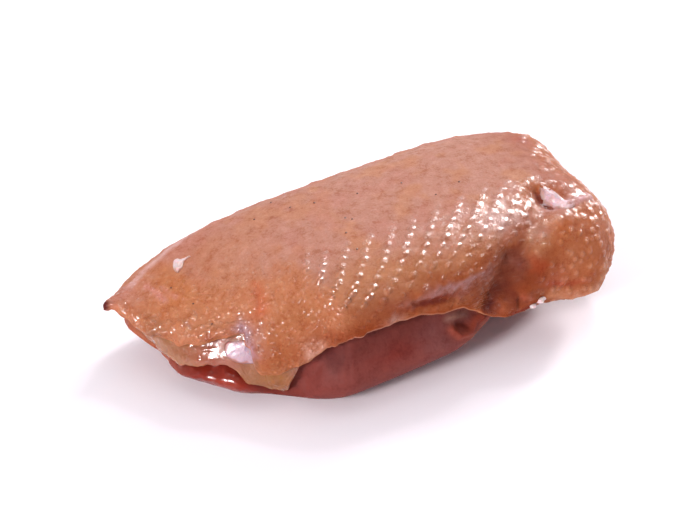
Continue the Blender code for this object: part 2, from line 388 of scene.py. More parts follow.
def times(tree, first, second):
    return maths(tree, "MULTIPLY", first, second)


def plus(tree, first, second):
    return maths(tree, "ADD", first, second)


def minus(tree, first, second):
    return maths(tree, "SUBTRACT", first, second)


def stored(tree, name, output="Fac"):  # a value kept on the mesh
    return node(tree, "ShaderNodeAttribute", attribute_name=name).outputs[output]


def ramp(tree, value, low, high, toLow=0.0, toHigh=1.0):
    made = node(tree, "ShaderNodeMapRange", {0: value, 1: low, 2: high, 3: toLow, 4: toHigh},
                interpolation_type="SMOOTHSTEP")
    return made.outputs[0]


def mixed(tree, share, first, second, blend="MIX"):
    made = node(tree, "ShaderNodeMix", data_type="RGBA", blend_type=blend)
    plug(tree, made.inputs[0], share)
    plug(tree, made.inputs[6], first)
    plug(tree, made.inputs[7], second)
    return made.outputs[2]


def tinged(tree, share, colour, tint):  # a share of the colour goes over to the colour times the tint
    return mixed(tree, share, colour, mixed(tree, 1.0, colour, tint, "MULTIPLY"))


def noise(tree, place, scale, detail, rough=0.5, output="Fac"):
    return node(tree, "ShaderNodeTexNoise", {"Vector": place, "Scale": scale, "Detail": detail,
                                             "Roughness": rough}).outputs[output]


def scaled(tree, vector, amount):
    return node(tree, "ShaderNodeVectorMath", {0: vector, "Scale": amount}, operation="SCALE").outputs[0]


def onObject(tree):  # places in the object's own metres
    return node(tree, "ShaderNodeTexCoord").outputs["Object"]


def newGroup(name, kind, inputs, outputs):
    tree = bpy.data.node_groups.new(name, kind)
    for direction, sockets in (("INPUT", inputs), ("OUTPUT", outputs)):
        for label, (socketKind, value) in sockets.items():
            made = tree.interface.new_socket(label, in_out=direction, socket_type=socketKind)
            if value is not None:
                made.default_value = value
    return tree, tree.nodes.new("NodeGroupInput").outputs, tree.nodes.new("NodeGroupOutput").inputs


def applyTree(piece, tree, values):
    modifier = piece.modifiers.new(tree.name, "NODES")
    modifier.node_group = tree
    for item in tree.interface.items_tree:
        if item.item_type == "SOCKET" and item.in_out == "INPUT" and item.name in values:
            modifier[item.identifier] = values[item.name]
    graph = bpy.context.evaluated_depsgraph_get()
    made = bpy.data.meshes.new_from_object(piece.evaluated_get(graph), preserve_all_data_layers=True,
                                           depsgraph=graph)
    piece.modifiers.clear()
    old, piece.data = piece.data, made
    bpy.data.meshes.remove(old)
    made.name = piece.name


def placesOf(mesh):
    places = np.empty(len(mesh.vertices) * 3, np.float32)
    mesh.vertices.foreach_get("co", places)
    return places.reshape(-1, 3)


def keepInBox(piece):  # nothing stands outside the CAD model's box
    low, high = (np.array(corner) for corner in cadBox)
    kept = np.clip(placesOf(piece.data), low + 2e-5, high - 2e-5)
    piece.data.vertices.foreach_set("co", kept.astype(np.float32).ravel())
    piece.data.update()


# Camera at the photograph's angle
cameraPlan = {"azimuth": -28.0, "elevation": 35.0, "distance": 575.0, "lens": 100.0,
              "target": (-2.0, -1.0, 19.0), "aimUp": 4.73, "aimRight": -1.78}


def makeCamera():
    a, e = np.radians(cameraPlan["azimuth"]), np.radians(cameraPlan["elevation"])
    back = Vector((np.sin(a) * np.cos(e), -np.cos(a) * np.cos(e), np.sin(e)))
    eye = Vector(cameraPlan["target"]) + back * cameraPlan["distance"]
    right = (-back).cross(Vector((0, 0, 1))).normalized()
    up = right.cross(-back)
    aim = Vector(cameraPlan["target"]) + up * cameraPlan["aimUp"] + right * cameraPlan["aimRight"]
    data = bpy.data.cameras.new("camera")
    data.lens, data.sensor_width = cameraPlan["lens"], 36.0
    data.clip_start, data.clip_end = 0.01, 20.0
    camera = bpy.data.objects.new("camera", data)
    camera.location = Vector(toMetres(eye))
    camera.rotation_euler = (aim - eye).to_track_quat("-Z", "Y").to_euler()
    bpy.context.scene.collection.objects.link(camera)
    bpy.context.scene.camera = camera


# Studio: pale floor, soft boxes and an even sky
studioPlan = {
    "floorSize": 6.0, "floorColour": (255, 250, 255), "floorVaries": 0.01,
    "sky": (0.95, 0.94, 1.0), "skyStrength": 0.40,
    "boxes": {  # direction to the box, its distance and size in metres, its power and colour
        "backRightBox": ((0.825, 0.345, 0.465), 1.5, (0.28, 0.28), 13.5, (1.0, 0.96, 0.96)),
        "leftBox": ((-0.79, -0.42, 0.46), 1.5, (0.3, 0.3), 18.0, (1.0, 0.96, 0.99)),
        "highBox": ((0.45, 0.33, 0.83), 1.5, (0.2, 0.2), 3.6, (1.0, 0.98, 1.0)),
        "ceiling": ((0.08, 0.05, 1.0), 2.2, (2.4, 2.4), 12.4, (1.0, 0.98, 1.0)),
    },
    "glints": {  # seen in gloss alone
        "rightGlint": ((0.825, 0.345, 0.465), 1.6, (0.82, 0.82), 125.0, (1.0, 0.97, 0.98)),
        "leftGlint": ((-0.79, -0.42, 0.46), 1.6, (0.45, 0.45), 40.0, (1.0, 0.97, 0.99)),
    },
}


def makeStudio():
    scene = bpy.context.scene
    world = bpy.data.worlds.new("sky")
    world.use_nodes = True
    sky = world.node_tree.nodes["Background"]
    sky.inputs["Color"].default_value = (*studioPlan["sky"], 1)
    sky.inputs["Strength"].default_value = studioPlan["skyStrength"]
    scene.world = world
    scene.view_settings.view_transform = "Standard"
    for name, (towards, distance, size, power, colour) in (studioPlan["boxes"] | studioPlan["glints"]).items():
        lamp = bpy.data.lights.new(name, "AREA")
        lamp.shape, lamp.size, lamp.size_y = "RECTANGLE", size[0], size[1]
        lamp.energy, lamp.color = power, colour
        box = bpy.data.objects.new(name, lamp)
        box.location = Vector(towards).normalized() * distance + Vector((0, 0, 0.02))
        box.rotation_euler = (-Vector(towards)).to_track_quat("-Z", "Y").to_euler()
        box.visible_diffuse = name in studioPlan["boxes"]
        scene.collection.objects.link(box)
    half = studioPlan["floorSize"] / 2
    mesh = bpy.data.meshes.new("floor")
    mesh.from_pydata([(-half, -half, 0), (half, -half, 0), (half, half, 0), (-half, half, 0)], [], [(0, 1, 2, 3)])
    material = bpy.data.materials.new("paleFloor")
    material.use_nodes = True
    tree = material.node_tree
    pale, varies = linear(studioPlan["floorColour"]), studioPlan["floorVaries"]
    shade = mixed(tree, noise(tree, onObject(tree), 40.0, 2.0),
                  (*(pale * (1 - varies)), 1), (*np.minimum(pale * (1 + varies), 1), 1))
    shader = tree.nodes["Principled BSDF"]
    plug(tree, shader.inputs["Base Color"], shade)
    shader.inputs["Roughness"].default_value = 0.6
    shader.inputs["Specular IOR Level"].default_value = 0.05
    mesh.materials.append(material)
    floor = bpy.data.objects.new("floor", mesh)
    scene.collection.objects.link(floor)


makeCamera()
makeStudio()
print("studio and camera ready")


# Shared surface effects
def mottlingGroup():
    tree, given, result = newGroup(
        "mottling", "ShaderNodeTree",
        {"Colour": ("NodeSocketColor", (0.5, 0.5, 0.5, 1)), "Deeper": ("NodeSocketColor", (0.7, 0.6, 0.5, 1)),
         "Paler": ("NodeSocketColor", (1.1, 1.1, 1.1, 1)), "Size": ("NodeSocketFloat", 300.0),
         "Amount": ("NodeSocketFloat", 0.5)},
        {"Colour": ("NodeSocketColor", None)})
    place = onObject(tree)
    broad = noise(tree, place, given["Size"], 4.0, 0.6)
    fine = noise(tree, place, times(tree, given["Size"], 4.3), 3.0, 0.65)
    both = plus(tree, times(tree, broad, 0.6), times(tree, fine, 0.4))
    low = times(tree, ramp(tree, both, 0.5, 0.36), given["Amount"])
    high = times(tree, ramp(tree, both, 0.5, 0.64), given["Amount"])
    deep = tinged(tree, low, given["Colour"], given["Deeper"])
    pale = tinged(tree, high, deep, given["Paler"])
    plug(tree, result["Colour"], pale)
    return tree


def creaseGroup():  # fine wet crazing, a height for a Bump node
    tree, given, result = newGroup(
        "creases", "ShaderNodeTree",
        {"Cell": ("NodeSocketFloat", 900.0), "Grain": ("NodeSocketFloat", 0.4)},
        {"Height": ("NodeSocketFloat", None)})
    place = onObject(tree)
    moved = scaled(tree, noise(tree, place, 350.0, 2.0, output="Color"), 0.0016)
    place = node(tree, "ShaderNodeVectorMath", {0: place, 1: moved}, operation="ADD").outputs[0]
    cells = node(tree, "ShaderNodeTexVoronoi", {"Vector": place, "Scale": given["Cell"]},
                 feature="DISTANCE_TO_EDGE").outputs["Distance"]
    pits = ramp(tree, cells, 0.0, 0.35)
    grain = noise(tree, place, times(tree, given["Cell"], 1.7), 3.0)
    plug(tree, result["Height"], plus(tree, pits, times(tree, grain, given["Grain"])))
    return tree


mottling = mottlingGroup()
creases = creaseGroup()


def domeOf(tree, squared):  # 1 in the middle, 0 from 1 outwards
    inside = maths(tree, "MAXIMUM", minus(tree, 1.0, squared), 0.0)
    return times(tree, inside, inside)


def follicleHeight(tree, row, step, shape):  # raised follicles in rows, the same in mesh and material
    rowCell, stepCell = maths(tree, "ROUND", row), maths(tree, "ROUND", step)
    cell = node(tree, "ShaderNodeCombineXYZ", {0: rowCell, 1: stepCell, 2: shape["Seed"]}).outputs[0]
    chance = node(tree, "ShaderNodeTexWhiteNoise", {"Vector": cell}, noise_dimensions="3D")
    apart = node(tree, "ShaderNodeSeparateXYZ", {0: chance.outputs["Color"]}).outputs
    awayRow = minus(tree, minus(tree, row, rowCell), times(tree, minus(tree, apart[0], 0.5), 0.12))
    r = maths(tree, "DIVIDE", awayRow, shape["Row width"])
    s = maths(tree, "DIVIDE", minus(tree, step, stepCell), shape["Step width"])
    rr, ss = times(tree, r, r), times(tree, s, s)
    away = plus(tree, rr, ss)
    pore = times(tree, domeOf(tree, times(tree, away, 7.0)), shape["Pore depth"])
    made = minus(tree, domeOf(tree, away), pore)
    made = plus(tree, made, times(tree, domeOf(tree, rr), shape["Ridge share"]))
    return times(tree, made, plus(tree, 0.6, times(tree, apart[1], 0.4)))


def pebbleHeight(tree, place, sizes, shape):  # irregular pebbles of two sizes, in millimetres
    total = 0.0
    for size, kind in zip(sizes, ("Pebble", "Grain")):
        cells = node(tree, "ShaderNodeTexVoronoi", {"Vector": place, "Scale": shape[kind + "s a metre"]})
        across = maths(tree, "DIVIDE", cells.outputs["Distance"], shape[kind + " radius"])
        tallest = times(tree, size, shape[kind + " height"])
        total = plus(tree, total, times(tree, domeOf(tree, times(tree, across, across)), tallest))
    return total


usualFinish = {  # each piece's own values go over these
    "blotchAmount": 0.6, "creaseGrain": 0.6, "creaseDepth": 0.1, "coat": 1.0, "coatIor": 1.42, "ior": 1.38,
    "subsurface": 0.5, "bleed": 2.5, "bleedColour": (1.0, 0.35, 0.2), "glintEdge": (0.4, 0.8),
}


def fleshMaterial(name, ownPlan):
    plan = usualFinish | ownPlan
    material = bpy.data.materials.new(name)
    material.use_nodes = True
    tree = material.node_tree
    shader = tree.nodes["Principled BSDF"]
    blotch = node(tree, "ShaderNodeGroup", node_tree=mottling)
    for key, value in (("Colour", stored(tree, "tint", "Color")), ("Deeper", (*plan["deeper"], 1)),
                       ("Paler", (*plan["paler"], 1)), ("Size", plan["blotchScale"]), ("Amount", plan["blotchAmount"])):
        plug(tree, blotch.inputs[key], value)
    hue, wet = blotch.outputs["Colour"], stored(tree, "wetness")
    fine = node(tree, "ShaderNodeGroup", node_tree=creases)
    fine.inputs["Cell"].default_value = plan["creaseScale"]
    fine.inputs["Grain"].default_value = plan["creaseGrain"]
    height, gloss, relief = fine.outputs["Height"], wet, None
    if "reliefShape" in plan:  # the same relief as in the mesh, finer than its points
        row, step, size, *sizes = (stored(tree, key) for key in
                                   ("rowPlace", "stepPlace", "follicleSize", "pebbleSize", "grainSize"))
        shape = plan["reliefShape"]
        raised = times(tree, follicleHeight(tree, row, step, shape), size)
        stones = pebbleHeight(tree, stored(tree, "restPlace", "Vector"), sizes, shape)
        relief = plus(tree, times(tree, raised, shape["Bump height"]), stones)
        paleTops = times(tree, ramp(tree, stones, 0.1, 0.34), plan["onRelief"]["paler"])
        hue = tinged(tree, paleTops, hue, (*plan["tops"], 1))
    if "onRelief" in plan:  # what stands up is wetter and crazed, the dips are darker
        relief = relief or stored(tree, "relief")
        dips = times(tree, ramp(tree, relief, 0.06, -0.08), plan["onRelief"]["darker"])
        hue = tinged(tree, dips, hue, (*plan["deeper"], 1))
        height = times(tree, height, ramp(tree, relief, 0.0, 0.22, plan["onRelief"]["smoothest"], 1.0))
        soaked = times(tree, maths(tree, "MAXIMUM", minus(tree, wet, 1.0), 0.0), 1.6)
        gloss = plus(tree, times(tree, wet, ramp(tree, relief, 0.0, 0.16, plan["onRelief"]["driest"], 1.0)), soaked)
    broken = ramp(tree, fine.outputs["Height"], *plan["glintEdge"], 1 - plan["glintBreaks"], 1.0)
    height = times(tree, height, plan["creaseDepth"])
    if "reliefShape" in plan:
        height = plus(tree, height, times(tree, relief, plan["reliefShade"]))
    bump = node(tree, "ShaderNodeBump", {"Height": height, "Distance": 0.001,  # height in millimetres
                                         "Strength": plan["creaseStrength"]})
    roughness = ramp(tree, gloss, 0.0, 1.0, plan["dryRoughness"], plan["wetRoughness"])
    coat = times(tree, times(tree, gloss, plan["coat"]), broken)
    for key, value in (("Base Color", hue), ("Normal", bump.outputs["Normal"]), ("Roughness", roughness),
                       ("Coat Weight", coat), ("Coat Roughness", plan["coatRoughness"]),
                       ("Coat IOR", plan["coatIor"]), ("IOR", plan["ior"]),
                       ("Subsurface Weight", plan["subsurface"]), ("Subsurface Radius", plan["bleedColour"]),
                       ("Subsurface Scale", plan["bleed"] * 0.001)):
        plug(tree, shader.inputs[key], value)
    return material


def blended(colour, share, tint):
    return colour + np.clip(share, 0, 1)[:, None] * (linear(tint) - colour)


def wandering(points, sizes, seed):  # how far each point strays from a tint's smooth outline
    return np.stack([uneven(points, ((1.0, sizes[0], seed + k), (0.5, sizes[1], seed + 7 + k)))
                     for k in range(3)], axis=1)


def paint(points, colour, spots, seed=5):  # named tints laid over one another
    wander = wandering(points, (4.0, 1.7), seed) * 1.6
    for centre, radii, tint, strength in spots.values():
        colour = blended(colour, strength * near(points + wander, centre, radii), tint)
    return colour


def streaked(points, colour, streaks, seed=15):  # tints along routes
    wander = wandering(points, (2.6, 1.1), seed) * 0.4
    for route, width, tint, strength in streaks.values():
        colour = blended(colour, strength * bell(distanceTo(points + wander, route), width), tint)
    return colour


def plain(colour, count):
    return np.broadcast_to(linear(colour), (count, 3))


def asColour(rgb):
    return np.concatenate([rgb, np.ones((len(rgb), 1))], axis=1)


# Skin: a fine sheet with follicles in rows, a rounded ragged hem and a plain inner side
skinPlan = {
    "cells": (384, 204), "innerEvery": 4, "lipRings": 4,
    "crowding": (((-1, -0.5725, -0.1735, 0.901, 1), (-1, -0.55, 0.05, 0.92, 1)),
                 ((-1, 0.081, 0.577, 1), (-1, -0.2, 0.35, 1))),
    "thickness": 1.4, "sink": 0.15, "hemKeptBack": 0.985,
    "hemLifts": ((236.5, 4.0, 0.055), (306, 5.0, -0.05), (219.5, 4.0, -0.035)),  # bearing, width, reach
    "hemStep": (214.4, 2.3, 0.19),
    "hemRagged": ((71, 0.3, 0.005), (113, 1.7, 0.003), (167, 0.5, 0.002)),  # waves, phase, reach
    "uneven": {  # height in millimetres, size and seed
        "broad": (0.16, 7.0, 11), "small": (0.07, 2.6, 12), "behind": (0.2, 1.6, 17), "hem": (0.4, 1.7, 19),
        "crown": (0.11, 0.85, 21), "shoulder": (0.09, 0.85, 22)},
    "unevenAt": {"crown": ((30, -22, 42), (26, 9, 7)), "shoulder": ((-16, -24, 37), (16, 10, 7))},
    "drift": ((0.10, 7.0, 61), (0.06, 2.8, 62)),
    "patches": {"golden": ((1.0, 8.0, 63), (0.6, 3.0, 64)), "rosy": ((1.0, 6.0, 65), (0.6, 2.4, 66))},
    "point": {"root": (-70.5, 15.5, 22.5), "pull": (-7.0, 1.5, 1.5), "radius": 3.3, "colour": (92, 20, 14)},
    "lipRoll": {"height": 1.5, "from": 0.72, "bearings": (150, 165, 200, 210), "lumpy": 0.9,
                "uneven": ((1.0, 3.4, 13), (0.6, 1.6, 14))},
    "rows": {"lean": 0.87, "fan": 0.0105, "pivot": -20.0, "first": 3.1, "pitch": 7.1, "spread": 0.00036,
             "alongStep": -0.148, "acrossStep": -0.2745},
    "larger": {"nearSlit": ((45, -17, 42.5), (7, 6, 4), -0.75), "leftRows": ((-23.4, -19, 38.5), (5, 7, 4), 1.3)},
    "raised": {"lowRow": ((-18, -30, 35.4), (5, 2.6, 3), 1.1), "lowRowRight": ((-9, -32, 35), (8, 2.6, 3), 0.5)},
    "shape": {"Bump height": 0.85, "Row width": 0.27, "Step width": 0.52, "Pore depth": 0.4, "Ridge share": 0.07,
              "Seed": 3.0, "Pebbles a metre": 400.0, "Pebble radius": 0.55, "Pebble height": 0.45,
              "Grains a metre": 680.0, "Grain radius": 0.62, "Grain height": 0.26},
    "colours": {
        "plateau": (178, 124, 105), "crown": (163, 100, 80), "shoulder": (173, 112, 76),
        "lowerFront": (138, 62, 24), "thinEnd": (178, 112, 77), "thickEnd": (166, 90, 50),
        "back": (176, 108, 84), "lowerBack": (158, 88, 56), "lip": (178, 114, 76),
        "lipInFront": (176, 120, 98), "inside": (150, 84, 60), "golden": (184, 118, 70), "rosy": (178, 116, 100),
    },
    "material": {"deeper": (0.80, 0.63, 0.50), "paler": (1.12, 1.20, 1.26), "blotchScale": 320.0,
                 "blotchAmount": 0.9, "creaseScale": 1500.0, "creaseDepth": 0.14,
                 "creaseStrength": 0.8, "dryRoughness": 0.95, "wetRoughness": 0.22, "coat": 0.75,
                 "coatRoughness": 0.2, "coatIor": 1.6, "ior": 1.24, "subsurface": 0.3, "bleed": 1.4,
                 "reliefShade": 0.22, "tops": (1.25, 1.5, 1.65), "glintEdge": (0.45, 0.85), "glintBreaks": 0.8,
                 "onRelief": {"darker": 0.4, "paler": 0.85, "smoothest": 0.5, "driest": 0.14}},
    "tints": {  # centre and radii in millimetres, colour, strength
        "tipPink": ((-67, 18, 24), (5, 6, 4.5), (182, 120, 104), 1.0),
        "topLeft": ((-40, 10, 36), (16, 10, 6), (172, 112, 86), 0.6),
        "frontMid": ((-32, -25, 31), (7, 6, 4), (158, 94, 56), 0.7),
        "frontLow": ((-26, -33, 26.5), (9, 5.5, 4), (128, 48, 8), 0.8),
        "frontRight": ((16, -32, 33), (18, 5, 5), (150, 76, 28), 0.7),
        "orangeStreak": ((-38.5, -12.5, 31.5), (1.8, 5, 4), (182, 84, 44), 0.35),
        "streakLow": ((-40.5, -15.3, 29.3), (2.5, 2, 2.5), (178, 76, 40), 0.4),
        "paleLeft": ((-38, 4, 36), (9, 9, 5), (184, 128, 104), 0.7),
        "goldLeft": ((-55, 6, 27), (9, 12, 5), (178, 106, 58), 0.6),
        "backEdge": ((-44, 22, 31), (20, 6, 6), (178, 106, 86), 0.6),
        "lavender": ((-45.6, -16.5, 24.5), (3.0, 3.4, 3.4), (158, 126, 136), 1.0),
        "lipRed": ((-52.5, -11.5, 22), (5, 4, 2), (144, 70, 36), 0.8),
        "lobeFoot": ((60, -32, 15), (9, 5, 2.6), (196, 140, 120), 0.7),
        "cornerTan": ((-40, -24, 20), (7, 6, 7), (146, 78, 40), 0.8),
        "flapLow": ((-34, -28, 20), (10, 5, 6), (144, 74, 38), 0.7),
        "hemPale": ((-31, -31.6, 21.6), (3.4, 3, 3.4), (190, 142, 124), 0.8),
        "hemPaleTwo": ((-8.6, -36, 27.6), (3.4, 3, 1.6), (186, 138, 122), 0.8),
        # paintedSheen: pale pink laid where the shoulder shines, a painted sheen
        "paintedSheen": ((34, -23.5, 41.7), (8.5, 5.5, 3.2), (192, 152, 144), 0.8),
        # valleyTop to valleyFoot: darker browns down the valley, partly the skin's own colour and partly painted shade
        # of the crease
        "valleyTop": ((44, -24.5, 37.5), (5, 3, 4), (146, 84, 62), 0.6),
        "valley": ((34.5, -30.5, 31.5), (5, 5.5, 5.5), (100, 38, 24), 1.0),
        "valleyLow": ((28, -33.5, 26.5), (7, 5, 4), (90, 28, 14), 1.0),
        "valleyFoot": ((24.5, -33.5, 21), (3, 4, 3), (86, 26, 18), 1.0),
        "underValley": ((29, -34.5, 20.4), (2.0, 4, 2.4), (150, 76, 46), 0.8),
        "wetBump": ((36, -35.4, 21), (2.2, 4, 2.2), (160, 84, 62), 0.8),
        # gapShade: painted shade in the dip between the wet bumps
        "gapShade": ((32.2, -35.6, 21.8), (1.6, 3, 3), (94, 32, 22), 0.8),
        # valleyBrown and flankShade: darker brown beside the valley, partly the skin's own colour and partly painted
        # shade
        "valleyBrown": ((31.5, -31, 33.5), (4.5, 3, 3.5), (132, 76, 58), 0.7),
        "flankShade": ((24, -32.5, 30), (7, 4, 4), (134, 72, 52), 0.7),
        "lobeRed": ((40.5, -31.5, 30.5), (2.6, 3, 3), (164, 62, 26), 0.85),
        "lobePink": ((46, -34, 24), (5, 3, 3), (160, 82, 56), 0.7),
        "lobeLow": ((54, -34, 21), (12, 5, 2.6), (162, 88, 52), 0.7),
        "lobeMid": ((53, -33, 28.5), (7, 5, 5), (172, 103, 68), 0.7),
        "paleBand": ((12, -34.2, 32), (14, 3, 1.7), (158, 112, 108), 0.95),
        "redLine": ((5, -34.8, 29.8), (8, 2, 0.9), (112, 40, 30), 0.9),
        "cornerRed": ((61, 11, 42.6), (3.6, 4, 2.5), (158, 72, 50), 0.8),
        # slitShadow: painted shadow beside and below the fat in the slit
        "slitShadow": ((50.6, -18.5, 40.5), (1.8, 3.4, 2.4), (126, 52, 34), 0.9),
        "orangeTop": ((60, -13, 42), (7, 6, 4), (164, 94, 70), 0.85),
        "tipLow": ((-65, 2, 18.2), (4, 6, 3), (140, 86, 56), 0.8),
        "lavenderLow": ((-45.3, -20, 20.8), (2.2, 2.6, 2.8), (166, 132, 148), 0.9),
    },
    "streaks": {  # route, width, colour, strength
        # lobeRimHighlight: pale along the lobe's upper rim, a painted highlight
        "lobeRimHighlight": ([(41.4, -26.1, 36.3), (46, -24.7, 37.6), (51.3, -27.3, 38.6)], 1.3,
                        (192, 140, 116), 0.55),
        # paintedRimLight: pale along the back edge of the thin end, a painted rim light
        "paintedRimLight": ([(-64, 20.4, 24.4), (-57.7, 22.4, 27), (-49.8, 24.4, 29.6), (-39.2, 27.6, 31.2), (-26, 29, 33)],
                    1.5, (216, 176, 170), 0.6),
        "lobeLowerRim": ([(44.7, -35, 19.4), (50.9, -34.2, 16.8), (61.6, -33.4, 16.8), (66, -33.6, 22)], 1.9,
                         (186, 124, 90), 0.8),
        "redBand": ([(43.6, -34.8, 23.6), (49, -34.6, 21.4), (57, -34.2, 20.6)], 0.9, (156, 58, 32), 0.7),
        "stripe": ([(50.6, -22, 38.6), (55.6, -22.9, 39.8), (60.9, -21.8, 39.5), (66.7, -19.6, 38)], 1.3,
                   (198, 154, 154), 0.95),
        "slitShade": ([(50.6, -15.6, 41.6), (50.6, -19, 40), (51.8, -21.6, 39.2)], 1.0, (118, 44, 30), 0.9),
        "redLine": ([(1.5, -34.9, 29.8), (5, -34.8, 29.8), (9, -35, 29.2)], 0.7, (110, 38, 26), 0.8),
        "redStrip": ([(31, -35, 17.6), (35, -35.2, 17.2), (39, -35, 17)], 1.0, (112, 26, 14), 0.9),
        "darkMark": ([(-17.7, 12.1, 40.9), (-16.3, 10, 41.4)], 0.5, (142, 66, 40), 0.7),
        "darkMarkTwo": ([(-23.8, 11.6, 40), (-22.1, 9.7, 40.5)], 0.5, (142, 66, 40), 0.6),
        "darkMarkThree": ([(1.4, 12.9, 42.8), (3.5, 11.1, 43.2)], 0.5, (146, 72, 48), 0.6),
        "pinkStreak": ([(-61.8, 15.1, 25.8), (-59.6, 6.9, 25.5)], 1.0, (196, 130, 118), 0.7),
        "pinkStreakTwo": ([(-58.6, 11, 27), (-56.6, 5, 26.6)], 0.7, (192, 126, 110), 0.6),
        "orangeFold": ([(-38, -8.5, 34), (-39.5, -12.6, 31.6), (-40.6, -15.4, 29.4)], 0.9, (178, 76, 40), 0.4),
    },
    "wet": {  # where the skin shines more or less than its slope gives it
        "flap": ((-33, -27, 27), (14, 11, 10), 0.02, 1.0),
        "corner": ((-42, -23, 19), (7, 7, 7), 0.12, 1.0),
        "lip": ((-54, -8, 23.5), (7, 6, 2.6), 1.35, 1.0),
        "leftFace": ((-58, 4, 25.5), (8, 12, 3.5), 1.1, 0.9),
        "lavender": ((-45.6, -16.5, 24.5), (3, 3.4, 3.4), 0.5, 1.0),
        "lowerFlank": ((-4, -38, 26), (22, 6, 6), 0.2, 0.9),
        "valley": ((34, -32, 29), (9, 6, 8), 0.12, 1.0),
        "nearSlit": ((46.5, -15.5, 43), (6.5, 5.5, 4), 0.14, 1.0),
        "aboveSlit": ((61, -11, 42), (9, 10, 5), 0.15, 0.95),
        "lobeTop": ((60, -24.5, 38.5), (9, 4, 3), 0.15, 0.95),
        "lobeRight": ((70, -25, 30), (6, 8, 9), 0.3, 0.9),
        "shine": ((34, -22.5, 41.8), (9, 6, 3.5), 1.4, 1.0),
        "leftRows": ((-23.4, -19, 38.5), (5, 7, 4), 2.2, 1.0),
        "lobeFace": ((56, -34, 27), (12, 5, 7), 0.45, 0.8),
        "lowRow": ((-16, -30.4, 35.4), (9, 3, 3), 1.6, 1.0),
        "besideValley": ((37, -31.5, 30), (3.4, 5, 8), 0.03, 1.0),
        "stripe": ((60, -21.8, 39.4), (8, 2.4, 2), 0.1, 0.9),
        "valleyFoot": ((33, -33, 26), (5, 5, 6), 0.02, 1.0),
        "frontLow": ((-24, -32.5, 28), (8, 5, 5), 0.0, 1.0),
    },
}


def hemLift(bearing):  # where the hem stands higher than the form has it
    degrees = np.degrees(bearing) % 360
    lifted = sum(lift * bell(degrees - middle, width) for middle, width, lift in skinPlan["hemLifts"])
    return lifted + sum(size * np.sin(count * bearing + phase) for count, phase, size in skinPlan["hemRagged"])


def hemReach(bearing, reach):  # beside the corner flap the skin's edge steps in and the fat shows
    middle, width, step = skinPlan["hemStep"]
    stepped = step * bell(np.degrees(bearing) % 360 - middle, width) * eased(reach, 0.45, 1.0)
    return reach * (skinPlan["hemKeptBack"] - hemLift(bearing) - stepped)


def skinColour(plan, surface, outward):
    hues = plan["colours"]
    drift = uneven(surface, plan["drift"])
    nx, ny, nz = outward.T
    x, z = surface[:, 0] + 20 * drift, surface[:, 2]
    colour = plain(hues["plateau"], len(surface))
    colour = blended(colour, eased(x, 40, 64), hues["crown"])
    for hue, least, most in (("golden", 0.0, 0.7), ("rosy", 0.1, 0.8)):
        colour = blended(colour, 0.4 * eased(uneven(surface, plan["patches"][hue]), least, most), hues[hue])
    colour = blended(colour, eased(ny + drift, 0.3, 0.8), hues["back"])
    colour = blended(colour, eased(-ny + drift - 0.14 * eased(x, -5, 15), 0.08, 0.48), hues["shoulder"])
    colour = blended(colour, eased(-ny + drift, 0.5, 0.92) * eased(x, -44, -22), hues["lowerFront"])
    colour = blended(colour, eased(-nx + drift, 0.3, 0.48), hues["thinEnd"])
    colour = blended(colour, np.maximum(eased(nx + drift, 0.15, 0.45), eased(x, 42, 52) * eased(-ny, 0.2, 0.5)),
                     hues["thickEnd"])
    colour = blended(colour, eased(-z + 8 * drift, -20, -8) * eased(ny, -0.2, 0.3), hues["lowerBack"])
    return streaked(surface, paint(surface, colour, plan["tints"]), plan["streaks"])


def shineOf(plan, surface, outward):  # how wet the skin is, 0 to 1 and a little over
    nx, ny, nz = outward.T
    wet = 0.12 + 0.88 * np.maximum.reduce([eased(-ny, 0.02, 0.2), 0.75 * eased(-nx, 0.35, 0.55),
                                           0.5 * eased(nx, 0.1, 0.4), 0.3 * eased(ny, 0.3, 0.6)])
    wet = wet + 0.25 * eased(surface[:, 0], 5, 30) * eased(-ny, 0.1, 0.3) * eased(-ny, 0.7, 0.5)
    for centre, radii, value, strength in plan["wet"].values():
        wet += strength * near(surface, centre, radii) * (value - wet)
    return wet * (1 + 0.25 * lumps(surface, 2.4, 81))


def reliefTree():
    tree, given, result = newGroup(
        "skinRelief", "GeometryNodeTree",
        {"Skin": ("NodeSocketGeometry", None), "Finish": ("NodeSocketMaterial", None),
         **{key: ("NodeSocketFloat", value) for key, value in skinPlan["shape"].items()}},
        {"Skin": ("NodeSocketGeometry", None)})

    def read(name, kind="FLOAT"):
        return node(tree, "GeometryNodeInputNamedAttribute", {"Name": name}, data_type=kind).outputs["Attribute"]

    shape = follicleHeight(tree, read("rowPlace"), read("stepPlace"), given)
    bumps = times(tree, shape, times(tree, read("follicleSize"), given["Bump height"]))
    stones = pebbleHeight(tree, read("restPlace", "FLOAT_VECTOR"), (read("pebbleSize"), read("grainSize")), given)
    height = times(tree, plus(tree, bumps, stones), 0.001)
    offset = scaled(tree, read("outward", "FLOAT_VECTOR"), height)
    raised = node(tree, "GeometryNodeSetPosition", {"Geometry": given["Skin"], "Offset": offset})
    real = node(tree, "GeometryNodeRealizeInstances", {"Geometry": raised.outputs[0]})
    finished = node(tree, "GeometryNodeSetMaterial", {"Geometry": real.outputs[0], "Material": given["Finish"]})
    plug(tree, result["Skin"], finished.outputs[0])
    return tree


def sheetPlaces(points, cells, crowding):  # millimetres along and across the sheet from its middle lines
    grid = points.reshape(cells[0] + 1, cells[1] + 1, 3)
    places = []
    for axis, (even, crowded) in enumerate(crowding):
        steps = np.linalg.norm(np.diff(grid, axis=axis), axis=2)
        run = np.concatenate([np.zeros_like(np.take(steps, [0], axis)), np.cumsum(steps, axis)], axis)
        middle = (np.interp(0, crowded, even) + 1) / 2 * cells[axis]
        first, part = int(middle), middle % 1
        start = np.take(run, [first], axis) * (1 - part) + np.take(run, [first + 1], axis) * part
        places.append((run - start).ravel())
    return places


